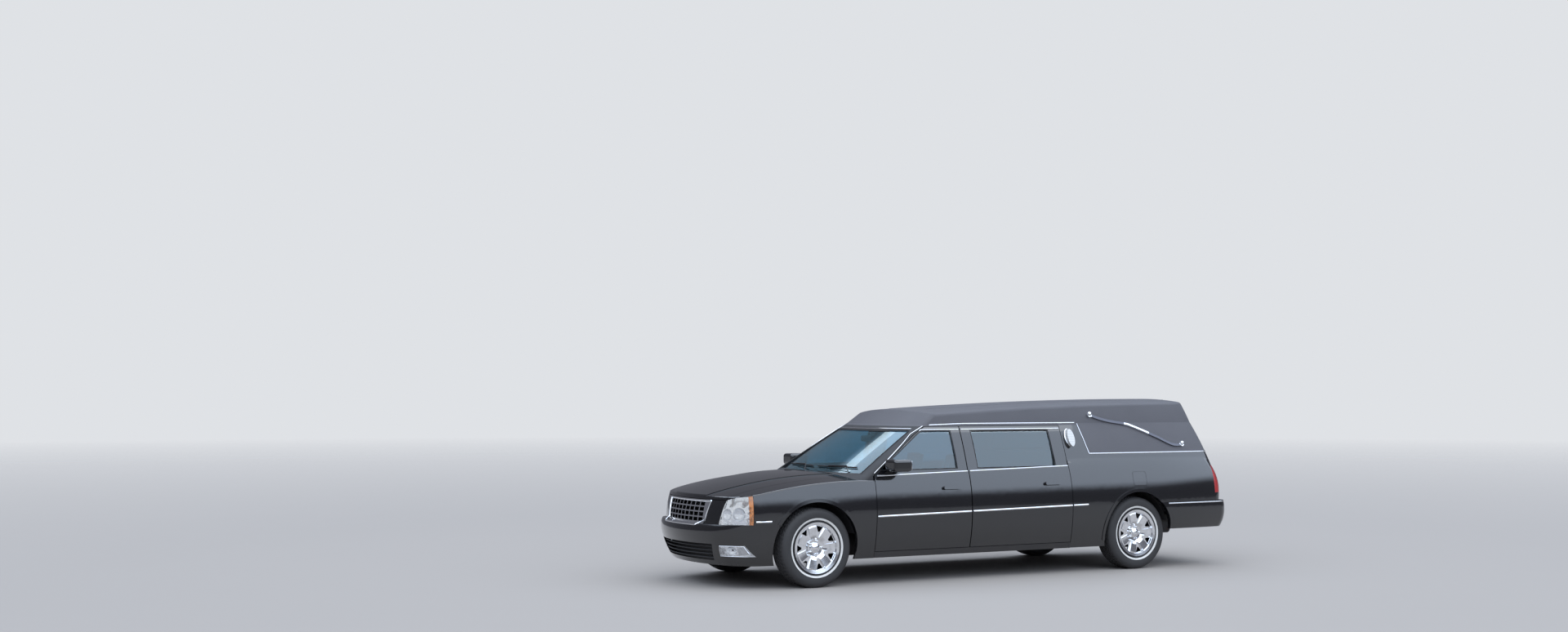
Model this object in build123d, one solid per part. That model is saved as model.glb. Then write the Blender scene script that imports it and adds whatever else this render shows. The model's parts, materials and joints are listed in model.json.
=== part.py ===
"""Sedan-based hearse: body shell, panels, doors, glass, wheels and running gear.

Millimetres. +X forward, +Y left, +Z up. Ground at z=0, overall length centred on x=0.
"""
import os
from math import asin, atan2, cos, degrees, hypot, radians, sin, sqrt

from build123d import *

# Driving dimensions
FRONT_AXLE_X = 1965.0
REAR_AXLE_X = -1712.0
AXLE_Z = 357.0
WHEEL_Y = 798.0
TYRE_R = 357.0
TYRE_W = 225.0
RIM_R = 216.0
SPOKES = 7
FLANGE_R = 231.0
KINGPIN_Y = 705.0
ARCH_R = 412.0
LIP_R = 442.0
LIP_RISE = 6.0
HOOD_RISE = 8.0
GAP = 5.0
SILL_TOP = 296.0
DOOR_BOTTOM = 301.0
DOOR_TOP = 1432.0
ROOF_EDGE = 1437.0
BUMPER_TOP = 575.0
REAR_BUMPER_TOP = 655.0
VINYL_EDGE = 1147.0
DECK_Z = 640.0
PANEL_WALL = 40.0
DOOR_WALL = 80.0
HOUSE_WALL = 32.0
CLIP_WALL = 28.0
BUMPER_WALL = 45.0
LENS_WALL = 8.0
LAMP_DEPTH = 90.0
PLATE_RECESS = 12.0
SEAM = 3.0
HANDLE_RISE = 26.0
HANDLE_WALL = 11.0

# Plan outline: tangent arcs, angle 0 at the nose, 90 at the side, 180 at the tail
BOW_ANGLE = 20.67
FENDER_ANGLE = 80.65
FENDER_R = 6627.0
SIDE_START_X = 1376.7
QUARTER_R = 9000.0
QUARTER_ANGLE = 95.0
TAIL_ANGLE = 175.0
PILLAR_R = 60.0
PILLAR_ANGLE = 22.4

# z, half width, nose x, tail x
TUB_ROWS = [
    (240, 884, 2860, -2850),
    (450, 931, 2875, -2880),
    (650, 948, 2868, -2890),
    (850, 931, 2805, -2893),
    (1020, 885, 2690, -2838),
    (1160, 814, 2560, -2796),
]
FRONT_BUMPER_ROWS = [
    (205, 868, 2812, -2000),
    (300, 898, 2880, -2000),
    (420, 925, 2932, -2000),
    (510, 938, 2950, -2000),
    (575, 946, 2925, -2000),
]
REAR_BUMPER_ROWS = [
    (385, 926, 2800, -2915),
    (470, 952, 2800, -2944),
    (570, 964, 2800, -2950),
    (655, 961, 2800, -2938),
]
# z, half width, nose x, tail x, rear corner radius
HOUSE_ROWS = [
    (940, 892, 1677, -2862, 100),
    (1200, 814, 1264, -2784, 96),
    (1455, 711, 843, -2692, 92),
]
CAP_ROWS = [
    (1455, 711, 843, -2692, 92),
    (1600, 674, 641, -2634, 88),
    (1760, 612, 405, -2566, 84),
]

# Centre lines of the crowned tops, as x z points
HOOD_LINE = ((1530, 1015), (2180, 965), (2830, 815))
ROOF_LINE = ((430, 1608), (-860, 1668), (-2660, 1696))
HOOD_CROWN = 6500.0
ROOF_CROWN = 5000.0


# Basic solids
def block(x0, x1, y0, y1, z0, z1):
    return Pos((x0 + x1) / 2, (y0 + y1) / 2, (z0 + z1) / 2) * Box(x1 - x0, y1 - y0, z1 - z0)


def polygon(points):
    """Polygon with its points turned anticlockwise."""
    pairs = zip(points, points[1:] + points[:1])
    area = sum(a[0] * b[1] - b[0] * a[1] for a, b in pairs)
    return Polygon(*(points if area > 0 else points[::-1]), align=None)


def side_prism(points, y0, y1):
    return Pos(0, y1, 0) * extrude(Plane.XZ * polygon(points), y1 - y0)


def front_prism(points, x0, x1):
    return Pos(x0, 0, 0) * extrude(Plane.YZ * polygon(points), x1 - x0)


def y_cylinder(x, z, r, y0, y1):
    return Pos(x, (y0 + y1) / 2, z) * Rot(90, 0, 0) * Cylinder(r, y1 - y0)


def mirrored(shape):
    return mirror(shape, about=Plane.XZ)


def only(shape):
    """Largest solid of a boolean result."""
    return max(shape.solids(), key=lambda s: s.volume)


def shell(outer, inner, zone):
    return (outer & zone) - inner


def both(shape):
    return Compound(children=[only(shape), only(mirrored(shape))])


# Plan outlines
def arc_edge(cx, cy, r, a0, a1, z):
    angles = (a0, (a0 + a1) / 2, a1)
    ends = [Vector(cx + r * cos(radians(a)), cy + r * sin(radians(a)), z) for a in angles]
    return Edge.make_three_point_arc(*ends)


def front_arcs(nose, w):
    s1, c1 = sin(radians(BOW_ANGLE)), cos(radians(BOW_ANGLE))
    s2, c2 = sin(radians(FENDER_ANGLE)), cos(radians(FENDER_ANGLE))
    end_x = SIDE_START_X + FENDER_R * c2
    end_y = w - FENDER_R * (1 - s2)
    det = s1 * (c1 - c2) - (s2 - s1) * (1 - c1)
    bow_r = (end_y * (c1 - c2) - (s2 - s1) * (nose - end_x)) / det
    corner_r = (s1 * (nose - end_x) - (1 - c1) * end_y) / det
    centre = (nose - bow_r + (bow_r - corner_r) * c1, (bow_r - corner_r) * s1)
    return [(nose - bow_r, 0, bow_r, -BOW_ANGLE, BOW_ANGLE),
            (*centre, corner_r, BOW_ANGLE, FENDER_ANGLE),
            (SIDE_START_X, w - FENDER_R, FENDER_R, FENDER_ANGLE, 90)]


def screen_arcs(nose, w):
    s1, c1 = sin(radians(PILLAR_ANGLE)), cos(radians(PILLAR_ANGLE))
    bow_r = (w - PILLAR_R * (1 - s1)) / s1
    centre = (nose - bow_r + (bow_r - PILLAR_R) * c1, (bow_r - PILLAR_R) * s1)
    return [(nose - bow_r, 0, bow_r, -PILLAR_ANGLE, PILLAR_ANGLE),
            (*centre, PILLAR_R, PILLAR_ANGLE, 90)]


def rear_arcs(tail, w, corner_r):
    s1, c1 = sin(radians(QUARTER_ANGLE)), cos(radians(QUARTER_ANGLE))
    s2, c2 = sin(radians(TAIL_ANGLE)), cos(radians(TAIL_ANGLE))
    y1 = w - QUARTER_R * (1 - s1)
    bow_r = (y1 + corner_r * (s2 - s1)) / s2
    x1 = tail + bow_r * (1 + c2) - corner_r * (c2 - c1)
    return [(x1 - QUARTER_R * c1, w - QUARTER_R, QUARTER_R, 90, QUARTER_ANGLE),
            (x1 - corner_r * c1, y1 - corner_r * s1, corner_r, QUARTER_ANGLE, TAIL_ANGLE),
            (tail + bow_r, 0, bow_r, TAIL_ANGLE, 360 - TAIL_ANGLE)]


def outline(z, w, front, rear):
    def flipped(arcs):
        return [arc_edge(a[0], -a[1], a[2], -a[4], -a[3], z) for a in reversed(arcs)]
    x0, x1 = front[-1][0], rear[0][0]
    edges = [arc_edge(*front[0], z)] + [arc_edge(*a, z) for a in front[1:]]
    edges += [Edge.make_line((x0, w, z), (x1, w, z))]
    edges += [arc_edge(*a, z) for a in rear] + flipped(rear[:-1])
    edges += [Edge.make_line((x1, -w, z), (x0, -w, z))] + flipped(front[1:])
    return Wire(edges)


# Body volumes
def tub(inset=0, rows=TUB_ROWS, corner=120):
    """Lower body volume; an inset one also runs 40 past both ends in z."""
    wires = []
    for i, (z, w, nose, tail) in enumerate(rows):
        if inset > 0:
            z += -40 if i == 0 else 40 if i == len(rows) - 1 else 0
        wires.append(outline(z, w - inset, front_arcs(nose - inset, w - inset),
                             rear_arcs(tail + inset, w - inset, corner - 0.6 * inset)))
    return Solid.make_loft(wires)


def house_block(rows, inset):
    wires = []
    for i, (z, w, nose, tail, corner) in enumerate(rows):
        if inset > 0 and z == HOUSE_ROWS[0][0]:
            z -= 20
        wires.append(outline(z, w - inset, screen_arcs(nose - 1.8 * inset, w - inset),
                             rear_arcs(tail + inset, w - inset, corner - 0.6 * inset)))
    return Solid.make_loft(wires)


def crowned(line, crown, drop, x0, x1, half=1300, depth=900):
    """Solid under a top that is curved both ways."""
    (ax, az), (bx, bz), (cx, cz) = line
    d = 2 * (ax * (bz - cz) + bx * (cz - az) + cx * (az - bz))
    a2, b2, c2 = ax * ax + az * az, bx * bx + bz * bz, cx * cx + cz * cz
    ux = (a2 * (bz - cz) + b2 * (cz - az) + c2 * (az - bz)) / d
    uz = (a2 * (cx - bx) + b2 * (ax - cx) + c2 * (bx - ax)) / d
    r = sqrt((ax - ux) ** 2 + (az - uz) ** 2)
    top = r - drop
    low = top - crown + sqrt(crown ** 2 - half ** 2)
    a0, a1 = degrees(asin((x0 - ux) / r)), degrees(asin((x1 - ux) / r))
    face = Face(Wire([
        Edge.make_three_point_arc((-half, low), (0, top), (half, low)),
        Edge.make_line((half, low), (half, top - depth)),
        Edge.make_line((half, top - depth), (-half, top - depth)),
        Edge.make_line((-half, top - depth), (-half, low))]))
    radial = Vector(sin(radians(a0)), 0, cos(radians(a0)))
    plane = Plane(origin=(ux, 0, uz), x_dir=(0, 1, 0), z_dir=Vector(0, 1, 0).cross(radial))
    return revolve(plane * face, axis=Axis((ux, 0, uz), (0, 1, 0)), revolution_arc=a1 - a0)


def rounded(solid, radii, pick):
    for r in radii:
        try:
            result = solid.fillet(r, [e for e in solid.edges() if pick(e)])
            if result.is_valid:
                return result
        except Exception:
            pass
    return solid


def clip(inset=0, drop=0):
    """Front body volume under the hood surface, which a negative drop raises."""
    zone = crowned(HOOD_LINE, HOOD_CROWN, drop, 1250, 3050)
    return only(tub(inset) & block(1300, 3000, -1100, 1100, 240, 1200) & zone)


def house(inset=0):
    """Greenhouse volume under the roof surface."""
    top = crowned(ROOF_LINE, ROOF_CROWN, inset, -3200, 1750)
    cap = only(house_block(CAP_ROWS, inset) & top)
    cap = rounded(cap, (90 - inset * 0.5, 60, 40), lambda e: e.center().Z > 1500)
    return only(house_block(HOUSE_ROWS, inset) + cap)


# Zones that split the body into panels
def hood_zone(gap=0):
    y0, y1 = 720 + gap, 600 + gap
    with BuildSketch() as sketch:
        with BuildLine():
            ThreePointArc((1506 - gap, y0), (1640 - gap, 0), (1506 - gap, -y0))
            Polyline((1506 - gap, -y0), (2790, -y1), (3050, -y1), (3050, y1), (2790, y1),
                     (1506 - gap, y0))
        make_face()
    return Pos(0, 0, 792 - gap) * extrude(sketch.sketch, 400)


def lamp_zone():
    front = front_prism([LAMP_INNER[0], LAMP_INNER[1], (1000, 900), (1000, BUMPER_TOP)],
                        2400, 3000)
    side = side_prism([(2562, BUMPER_TOP), (3000, BUMPER_TOP), (3000, 735), (2790, 795),
                       (2562, 846)], 400, 1000)
    return only((front & side) - hood_zone(GAP))


def arch(x, y0=400, y1=1100, r=ARCH_R):
    return y_cylinder(x, AXLE_Z, r, y0, y1)


FRONT_DOOR = [(1355, 301), (1355, 985), (1338, 1000), (838, 1353), (700, 1432), (310, 1432),
              (310, 301)]
FRONT_WINDOW = [(1262, 1042), (800, 1356), (742, 1388), (420, 1388), (420, 1046)]
REAR_DOOR = [(300, 301), (300, 1432), (-880, 1432), (-880, 301)]
REAR_WINDOW = [(180, 1046), (180, 1388), (-730, 1388), (-730, 1046)]
BELT = [(1500, 960), (1500, 992), (-880, 1048), (-880, 1500), (1700, 1500)]
SCREEN = [(-775, 1008), (775, 1008), (652, 1388), (-652, 1388)]
LOAD_DOOR = [(-655, 668), (655, 668), (655, 1080), (560, 1560), (-560, 1560), (-655, 1080)]
LOAD_WINDOW = [(-560, 1150), (560, 1150), (490, 1500), (-490, 1500)]
LANDAU = [(-1279, 1540), (-1401, 1499), (-1549, 1469), (-1750, 1437), (-1941, 1367),
          (-2132, 1291), (-2286, 1231), (-2397, 1238)]
LAMP_INNER = [(552, BUMPER_TOP), (604, 792)]
# Door handles and fuel flap, as x z centres
HANDLES = [(526, 866), (-655, 880)]
FUEL_FLAP = (-1742, 902)
# Raised middle of the hood in plan, and the lamp bowls: x y z of each and its radius
HOOD_PLAN = [(1480, 520), (2200, 400), (3000, 290), (3000, -290), (2200, -400), (1480, -520)]
LAMP_BOWLS = [(2764, 650, 668, 62), (2687, 752, 668, 66), (2718, 682, 336, 48)]
BULB_R = 12.0
BULB_LENGTH = 14.0
VINYL_FRONT = [(-1105, 1437), (-1168, 1147)]


class Volumes:
    """Volumes shared by several panels, each built once."""
    def __init__(self):
        self.tub = tub()
        self.tub_in = tub(PANEL_WALL)
        self.tub_deep = tub(DOOR_WALL)
        self.house = house()
        self.house_in = house(HOUSE_WALL)
        self.clip = rounded(clip(), (22, 14), lambda e: e.center().Z > 820 and e.length > 300)
        self.clip_in = clip(CLIP_WALL, CLIP_WALL)
        self.clip_lens = clip(LENS_WALL, LENS_WALL)
        self.handle_out = tub(-HANDLE_RISE)
        self.handle_in = tub(HANDLE_WALL - HANDLE_RISE)
        self.lips = {x: self.wheel_lip(x) for x in (FRONT_AXLE_X, REAR_AXLE_X)}
        self.front_bumper = tub(0, FRONT_BUMPER_ROWS)
        self.front_bumper_in = tub(BUMPER_WALL, FRONT_BUMPER_ROWS)
        self.front_bumper_lens = tub(LENS_WALL, FRONT_BUMPER_ROWS)
        self.rear_bumper = tub(0, REAR_BUMPER_ROWS)
        self.rear_bumper_in = tub(BUMPER_WALL, REAR_BUMPER_ROWS)


    def wheel_lip(self, x):
        """Ring that stands proud of the tub round a left wheel opening."""
        return (tub(-LIP_RISE) & (arch(x, r=LIP_R) - arch(x))) - self.tub_in


# Panels
def hood(v):
    """Hood with a raised middle that narrows to the grille."""
    panel = shell(v.clip, v.clip_in, hood_zone())
    raised = rounded(clip(0, -HOOD_RISE), (22, 14), lambda e: e.center().Z > 820 and e.length > 300)
    raised = raised & (Pos(0, 0, 792) * extrude(polygon(HOOD_PLAN), 400))
    return only(panel + shell(raised, v.clip_in, hood_zone()))


def left_fender(v):
    panel = shell(v.clip, v.clip_in, block(1361, 3000, 300, 1100, 240, 1200))
    panel = panel + (v.lips[FRONT_AXLE_X] & block(1361, 3000, 300, 1100, 300, 1200))
    panel = panel - hood_zone(GAP) - lamp_zone() - arch(FRONT_AXLE_X)
    panel = panel - block(1300, 1660, 0, 717, 700, 1200)
    nose = block(2330, 3000, 0, 1100, 200, BUMPER_TOP)
    front = front_prism([(0, 200), (0, 1000), *LAMP_INNER[::-1], (552, 200)], 2560, 3000)
    return only(panel - nose - front)


def front_bumper(v):
    cover = shell(v.front_bumper, v.front_bumper_in,
                  block(2330, 3000, -1100, 1100, 206, BUMPER_TOP))
    cover = cover - arch(FRONT_AXLE_X) - mirrored(arch(FRONT_AXLE_X))
    front = front_prism([*LAMP_INNER, *[(-y, z) for y, z in LAMP_INNER[::-1]]], 2560, 3000)
    top = shell(v.clip, v.clip_in, front)
    shelf = v.front_bumper & block(2600, 2880, -560, 560, 545, BUMPER_TOP)
    cover = cover + top + shelf - hood_zone(GAP)
    cover = cover - grille_zone() - fog_zone() - mirrored(fog_zone())
    intake = front_prism([(-470, 250), (470, 250), (520, 400), (-520, 400)], 2700, 3000)
    return only(cover - intake)


def grille_zone():
    return front_prism([(-315, 556), (315, 556), (385, 600), (428, 786), (-428, 786),
                        (-385, 600)], 2560, 3000)


def fog_zone():
    return front_prism([(565, 288), (790, 288), (768, 392), (585, 392)], 2400, 3000)


def grille(v):
    face = (v.clip & block(2700, 3000, -500, 500, 540, 800)) & grille_zone()
    low = v.front_bumper & block(2700, 3000, -500, 500, 540, 575) & grille_zone()
    face = face + low
    back = tub(60) & block(2600, 3000, -500, 500, 500, 820)
    body = face - back
    for k in range(9):
        for j in range(4):
            y, z = (k - 4) * 78.0, 610 + 46 * j
            body = body - (Pos(2850, y, z) * Box(400, 64, 34))
    return only(body)


def headlamp_lenses(v):
    lens = shell(v.clip, v.clip_lens, lamp_zone())
    fog = shell(v.front_bumper, v.front_bumper_lens, fog_zone())
    return Compound(children=[only(lens), only(mirrored(lens)), only(fog), only(mirrored(fog))])


def lamp_bowl(housing, x, y, z, r):
    """Round reflector sunk in a housing, with its bulb."""
    bulb = Pos(x - r + 2, y, z) * Rot(0, 90, 0) * Cone(BULB_R, 0.6 * BULB_R, BULB_LENGTH)
    return housing - Pos(x, y, z) * Sphere(r) + bulb


def headlamp_housings(v):
    lamp = shell(v.clip_lens, clip(LAMP_DEPTH, LAMP_DEPTH), lamp_zone())
    lamp = only(lamp - block(2400, 2700, 0, 565, 500, 700))
    fog = only(shell(v.front_bumper_lens, v.front_bumper_in, fog_zone()))
    for bowl in LAMP_BOWLS[:2]:
        lamp = lamp_bowl(lamp, *bowl)
    fog = lamp_bowl(fog, *LAMP_BOWLS[2])
    return Compound(children=[only(lamp), only(mirrored(lamp)), only(fog), only(mirrored(fog))])


def side_wall(v):
    """Left wall: deep lower part up to the belt, thin window frame above."""
    low = shell(v.tub, v.tub_deep, block(-1000, 1500, 300, 1100, 250, 1159))
    low = low - side_prism(BELT, 200, 1100)
    high = shell(v.house, v.house_in, block(-1000, 1500, 300, 1100, 985, 1500))
    return low + high


def left_doors(v):
    wall = side_wall(v)
    front = wall & side_prism(FRONT_DOOR, 200, 1100)
    rear = wall & side_prism(REAR_DOOR, 200, 1100)
    front = front - side_prism(FRONT_WINDOW, 200, 1100)
    rear = rear - side_prism(REAR_WINDOW, 200, 1100)
    handles = [door_handle(v, x, z) for x, z in HANDLES]
    return only(front + handles[0]), only(rear + handles[1])


def side_plate(x, z, width, height, corner):
    """Rounded block across the left wall."""
    with BuildSketch(Plane.XZ) as sketch:
        with Locations((x, z)):
            RectangleRounded(width, height, corner)
    return Pos(0, 1100, 0) * extrude(sketch.sketch, 500)


def door_handle(v, x, z):
    """Pull handle: a bar held off the skin by two feet."""
    bar = (v.handle_out - v.handle_in) & side_plate(x, z, 196, 30, 14)
    foot = v.handle_out - v.tub_in
    ends = [foot & side_plate(x + s * 82, z, 30, 26, 12) for s in (1, -1)]
    return bar + ends[0] + ends[1]


def pane(window):
    return only(shell(house(12), house(17), side_prism(window, 300, 1100)))


def windshield(v):
    return only(shell(house(6), house(11), front_prism(SCREEN, 500, 2000)))


def load_door(v):
    low = shell(v.tub, v.tub_in, block(-3000, -2500, -900, 900, 600, VINYL_EDGE))
    high = shell(v.house, v.house_in, block(-3000, -2500, -900, 900, 1000, 1700))
    door = (low + high) & front_prism(LOAD_DOOR, -3000, -2500)
    plate = block(-3000, -2500, -268, 268, 772, 926) - tub(PLATE_RECESS)
    return only(door - plate - front_prism(LOAD_WINDOW, -3000, -2500))


def load_glass():
    return only(shell(house(10), house(15), front_prism(LOAD_WINDOW, -3000, -2500)))


def load_opening():
    grown = [(-660, 661), (660, 661), (660, 1081), (565, 1565), (-565, 1565), (-660, 1081)]
    return front_prism(grown, -3000, -2500)


def roof(v):
    top = block(-3000, 1600, -1000, 1000, ROOF_EDGE, 1800)
    (ax, az), (bx, bz) = VINYL_FRONT
    sides = side_prism([(ax, az), (bx, bz), (-3000, bz), (-3000, az)], -1000, 1000)
    return only(shell(v.house, v.house_in, top + sides) - load_opening())


def left_quarter(v):
    (ax, az), (bx, bz) = VINYL_FRONT
    low = shell(v.tub, v.tub_in, side_prism(
        [(-886, 242), (-886, 1159), (bx + 5, 1159), (bx, bz), (-3000, bz), (-3000, 242)], 300, 1100))
    pillar = shell(v.house, v.house_in, side_prism(
        [(-886, 985), (-886, az), (ax, az), (bx, bz), (-2700, bz), (-2700, 985)], 300, 1100))
    rear = shell(v.house, v.house_in, block(-3000, -2600, 300, 1100, 985, bz))
    lip = v.lips[REAR_AXLE_X] & block(-3000, -886, 300, 1100, 300, 1200)
    panel = low + pillar + rear + lip
    panel = panel - arch(REAR_AXLE_X) - load_opening() - tail_zone()
    return only(panel - block(-3000, -1900, 0, 1100, 200, REAR_BUMPER_TOP))


def flap_seam():
    """Groove round the fuel flap."""
    x, z = FUEL_FLAP
    ring = side_plate(x, z, 172, 136, 24)
    return ring - side_plate(x, z, 172 - 2 * SEAM, 136 - 2 * SEAM, 24 - SEAM) - tub(SEAM)


def tail_zone():
    return block(-3000, -2740, 690, 1000, 735, 1012)


def rear_bumper(v):
    cover = shell(v.rear_bumper, v.rear_bumper_in,
                  block(-3000, -1900, -1100, 1100, 386, REAR_BUMPER_TOP))
    step = v.rear_bumper & block(-3000, -2780, -900, 900, 640, REAR_BUMPER_TOP)
    return only(cover + step - arch(REAR_AXLE_X) - mirrored(arch(REAR_AXLE_X)))


def tail_lamps(v):
    return both(shell(v.tub, v.tub_in, tail_zone()))


def floor_pan(v):
    sill = shell(v.tub, tub(120), block(-1270, 1358, -1100, 1100, 241, SILL_TOP))
    for s in (1, -1):
        sill = sill - block(-1270, -886, *sorted((s * 822, s * 1100)), 240, SILL_TOP)
    floor = block(-1250, 1361, -800, 800, 250, 275) + block(-1250, -1225, -598, 598, 250, 500)
    return only(sill + floor + block(-2800, -1225, -598, 598, 480, 500))


def firewall(v):
    """Firewall with hinge pillars, cowl and windshield frame."""
    frame = shell(v.house, house(45), side_prism(
        [(1800, 930), (1800, ROOF_EDGE), (690, ROOF_EDGE), (707, 1434), (845, 1353),
         (1345, 1000), (1362, 985), (1362, 930)], -1100, 1100))
    frame = frame - front_prism(SCREEN, 500, 2000)
    frame = frame - (hood_zone(GAP) - crowned(HOOD_LINE, HOOD_CROWN, 36, 1250, 3050))
    cowl = shell(v.clip, v.clip_in, block(1361, 1630, -710, 710, 850, 1003))
    wall = block(1361, 1385, -780, 780, 250, 915) + block(1361, 1480, -850, 850, 897, 915)
    wall = wall + block(1361, 1600, -690, 690, 915, 940)
    for s in (1, -1):
        frame = frame - (v.clip & block(1361, 1700, *sorted((s * 716, s * 1100)), 900, 1100))
        wall = wall + block(1361, 1425, *sorted((s * 755, s * 850)), 245, 915)
    return only(wall + frame + (cowl - hood_zone(GAP) - house(45)))


def wheelhouse(x, y0, z0):
    ring = y_cylinder(x, AXLE_Z, 432, y0, 862) - y_cylinder(x, AXLE_Z, 424, y0, 862)
    return ring & block(x - 450, x + 450, 400, 900, z0, 900) & tub(47)


def front_rails():
    """Rails, aprons and wheelhouses joined by the radiator support."""
    side = block(1385, 2600, 400, 478, 400, 480) + block(1385, 2600, 466, 478, 400, 800)
    side = side + wheelhouse(FRONT_AXLE_X, 466, 470)
    support = block(2580, 2600, -560, 560, 300, 740) - block(2500, 2700, -330, 330, 360, 700)
    return only(support + side + mirrored(side))


def rear_rails():
    return both(block(-2800, -1250, 430, 530, 420, 480))


def rear_wheelhouses():
    disc = y_cylinder(REAR_AXLE_X, AXLE_Z, 430, 598, 608)
    disc = disc & block(REAR_AXLE_X - 450, REAR_AXLE_X + 450, 400, 900, 405, 900)
    return both(disc + wheelhouse(REAR_AXLE_X, 598, 470))


def door_pillars():
    low = shell(tub(82), tub(125), block(235, 365, 300, 1100, SILL_TOP, 1060))
    return both(low + shell(house(34), house(90), block(235, 365, 300, 1100, 1030, ROOF_EDGE)))


# Trim and fittings
def landau_bars():
    upper, lower = [], []
    for i, (x, z) in enumerate(LANDAU):
        (ax, az), (bx, bz) = LANDAU[max(i - 1, 0)], LANDAU[min(i + 1, len(LANDAU) - 1)]
        d = sqrt((bx - ax) ** 2 + (bz - az) ** 2)
        nx, nz = 12 * (bz - az) / d, 12 * (ax - bx) / d
        upper.append((x + nx, z + nz))
        lower.append((x - nx, z - nz))
    with BuildSketch(Plane.XZ) as sketch:
        with BuildLine():
            Spline(*upper)
            Line(upper[-1], lower[-1])
            Spline(*lower[::-1])
            Line(lower[0], upper[0])
        make_face()
    band = Pos(0, 1100, 0) * extrude(sketch.sketch, 800)
    bar = (house(-16) - house(-4)) & band
    for x, z in (LANDAU[0], LANDAU[-1]):
        bar = bar + ((house(-22) - house(0)) & y_cylinder(x, z, 24, 300, 1100))
    return both(bar)


def coach_lamps():
    with BuildSketch(Plane.XZ) as sketch:
        with Locations((-971, 1315)):
            Ellipse(40, 84)
    prism = Pos(0, 1100, 0) * extrude(sketch.sketch, 800)
    return both((house(-42) - house(0)) & prism)


def left_mirror():
    head = Pos(1150, 985, 1085) * Box(190, 190, 112)
    head = head.fillet(30, head.edges())
    arm = Pos(1160, 880, 1050) * Box(90, 60, 40)
    return only(head + (arm - house(-0.5) - tub(-0.5)))


# Cabin
def dashboard():
    shape = side_prism([(1361, 560), (1361, 912), (1230, 955), (1120, 930), (1080, 860),
                        (1130, 760), (1190, 560)], -735, 735)
    return only(shape)


def steering_wheel():
    ring = Torus(182, 15) + Cylinder(52, 34) + Box(350, 34, 14)
    column = Pos(0, 0, -150) * Cylinder(28, 300)
    return only(Pos(960, 380, 905) * Rot(0, -62, 0) * (ring + column) - dashboard())


def front_seats():
    def one(y):
        w = 265
        base = block(330, 800, y - 180, y + 180, 275, 380)
        cushion = Pos(575, y, 435) * Box(560, 2 * w, 130)
        cushion = cushion.fillet(40, cushion.edges())
        back = Pos(290, y, 730) * Rot(0, -14, 0) * Box(130, 2 * w, 640)
        back = back.fillet(40, back.edges())
        head = Pos(205, y, 1110) * Rot(0, -14, 0) * Box(100, 270, 170)
        head = head.fillet(30, head.edges())
        return only(base + cushion + back + head)
    return Compound(children=[one(350), one(-350)])


def casket_deck():
    deck = block(-2760, 60, -560, 560, DECK_Z - 24, DECK_Z)
    for y in (-540, -200, 180, 520):
        deck = deck + block(-1220, 60, y, y + 20, 275, DECK_Z - 20)
        deck = deck + block(-2760, -1200, y, y + 20, 500, DECK_Z - 20)
    return only(deck)


# Running gear
def engine():
    return block(1560, 2330, -330, 330, 330, 830)


def front_suspension():
    """Crossmember, and a bracket with two arms on each side."""
    k = FRONT_AXLE_X
    body = block(k - 80, k + 80, -500, 500, 245, 300)
    body = body + block(k - 100, k - 80, -330, 330, 300, 330) + block(1600, k - 80, -60, 60, 300, 330)
    for s in (1, -1):
        body = body + block(k - 80, k + 80, *sorted((s * 400, s * 478)), 280, 400)
        body = body + block(k - 40, k + 40, *sorted((s * 478, s * 500)), 222, 490)
        arm = sorted((s * 490, s * KINGPIN_Y))
        body = body + block(k - 35, k + 35, *arm, 222, 246) + block(k - 25, k + 25, *arm, 468, 490)
        body = body + (Pos(k, s * KINGPIN_Y, 234) * Cylinder(35, 24))
        body = body + (Pos(k, s * KINGPIN_Y, 479) * Cylinder(28, 22))
    return only(body)


def left_knuckle():
    k = FRONT_AXLE_X
    body = block(k - 35, k + 35, 688, 726, 246, 468)
    body = body + y_cylinder(k, AXLE_Z, 62, 700, WHEEL_Y + 20)
    body = body + y_cylinder(k, AXLE_Z, 150, 742, 756)
    return only(body)


def rear_axle():
    body = y_cylinder(REAR_AXLE_X, AXLE_Z, 40, -WHEEL_Y + 60, WHEEL_Y - 60)
    body = body + Pos(REAR_AXLE_X, 0, AXLE_Z) * Sphere(115)
    for s in (1, -1):
        ys = sorted((s * (WHEEL_Y - 60), s * (WHEEL_Y + 20)))
        body = body + y_cylinder(REAR_AXLE_X, AXLE_Z, 62, *ys)
        ys = sorted((s * 742, s * 756))
        body = body + y_cylinder(REAR_AXLE_X, AXLE_Z, 150, *ys)
        body = body + block(REAR_AXLE_X - 45, REAR_AXLE_X + 45, *sorted((s * 440, s * 520)), 340, 420)
    return only(body)


def fuel_tank():
    tank = block(-2560, -2160, -420, 420, 300, 480)
    return only(tank.fillet(40, tank.edges().filter_by(Axis.Y)))


def exhaust():
    """Pipe from the engine through the muffler to a tail pipe under the rear bumper."""
    path = [(1660, 370), (1440, 190), (-2560, 190), (-2740, 300), (-2925, 300)]
    pipe = Pos(-500, -250, 190) * Box(600, 240, 104)
    for (ax, az), (bx, bz) in zip(path, path[1:]):
        turn = degrees(atan2(bx - ax, bz - az))
        middle = Pos((ax + bx) / 2, -250, (az + bz) / 2) * Rot(0, turn, 0)
        pipe = pipe + middle * Cylinder(32, hypot(bx - ax, bz - az))
    for x, z in path[1:-1]:
        pipe = pipe + Pos(x, -250, z) * Sphere(32)
    for x in (-550, -1150):
        pipe = pipe + block(x - 10, x + 10, -270, -230, 190, 250)
    bore = Pos(-2925, -250, 300) * Rot(0, 90, 0) * Cylinder(27, 200)
    return only(pipe - bore - engine())


def spun(points, y):
    """Ring turned about a Y axis, from radius and offset points."""
    body = revolve(polygon(points), axis=Axis.Y)
    return Pos(0, y, 0) * body


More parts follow.
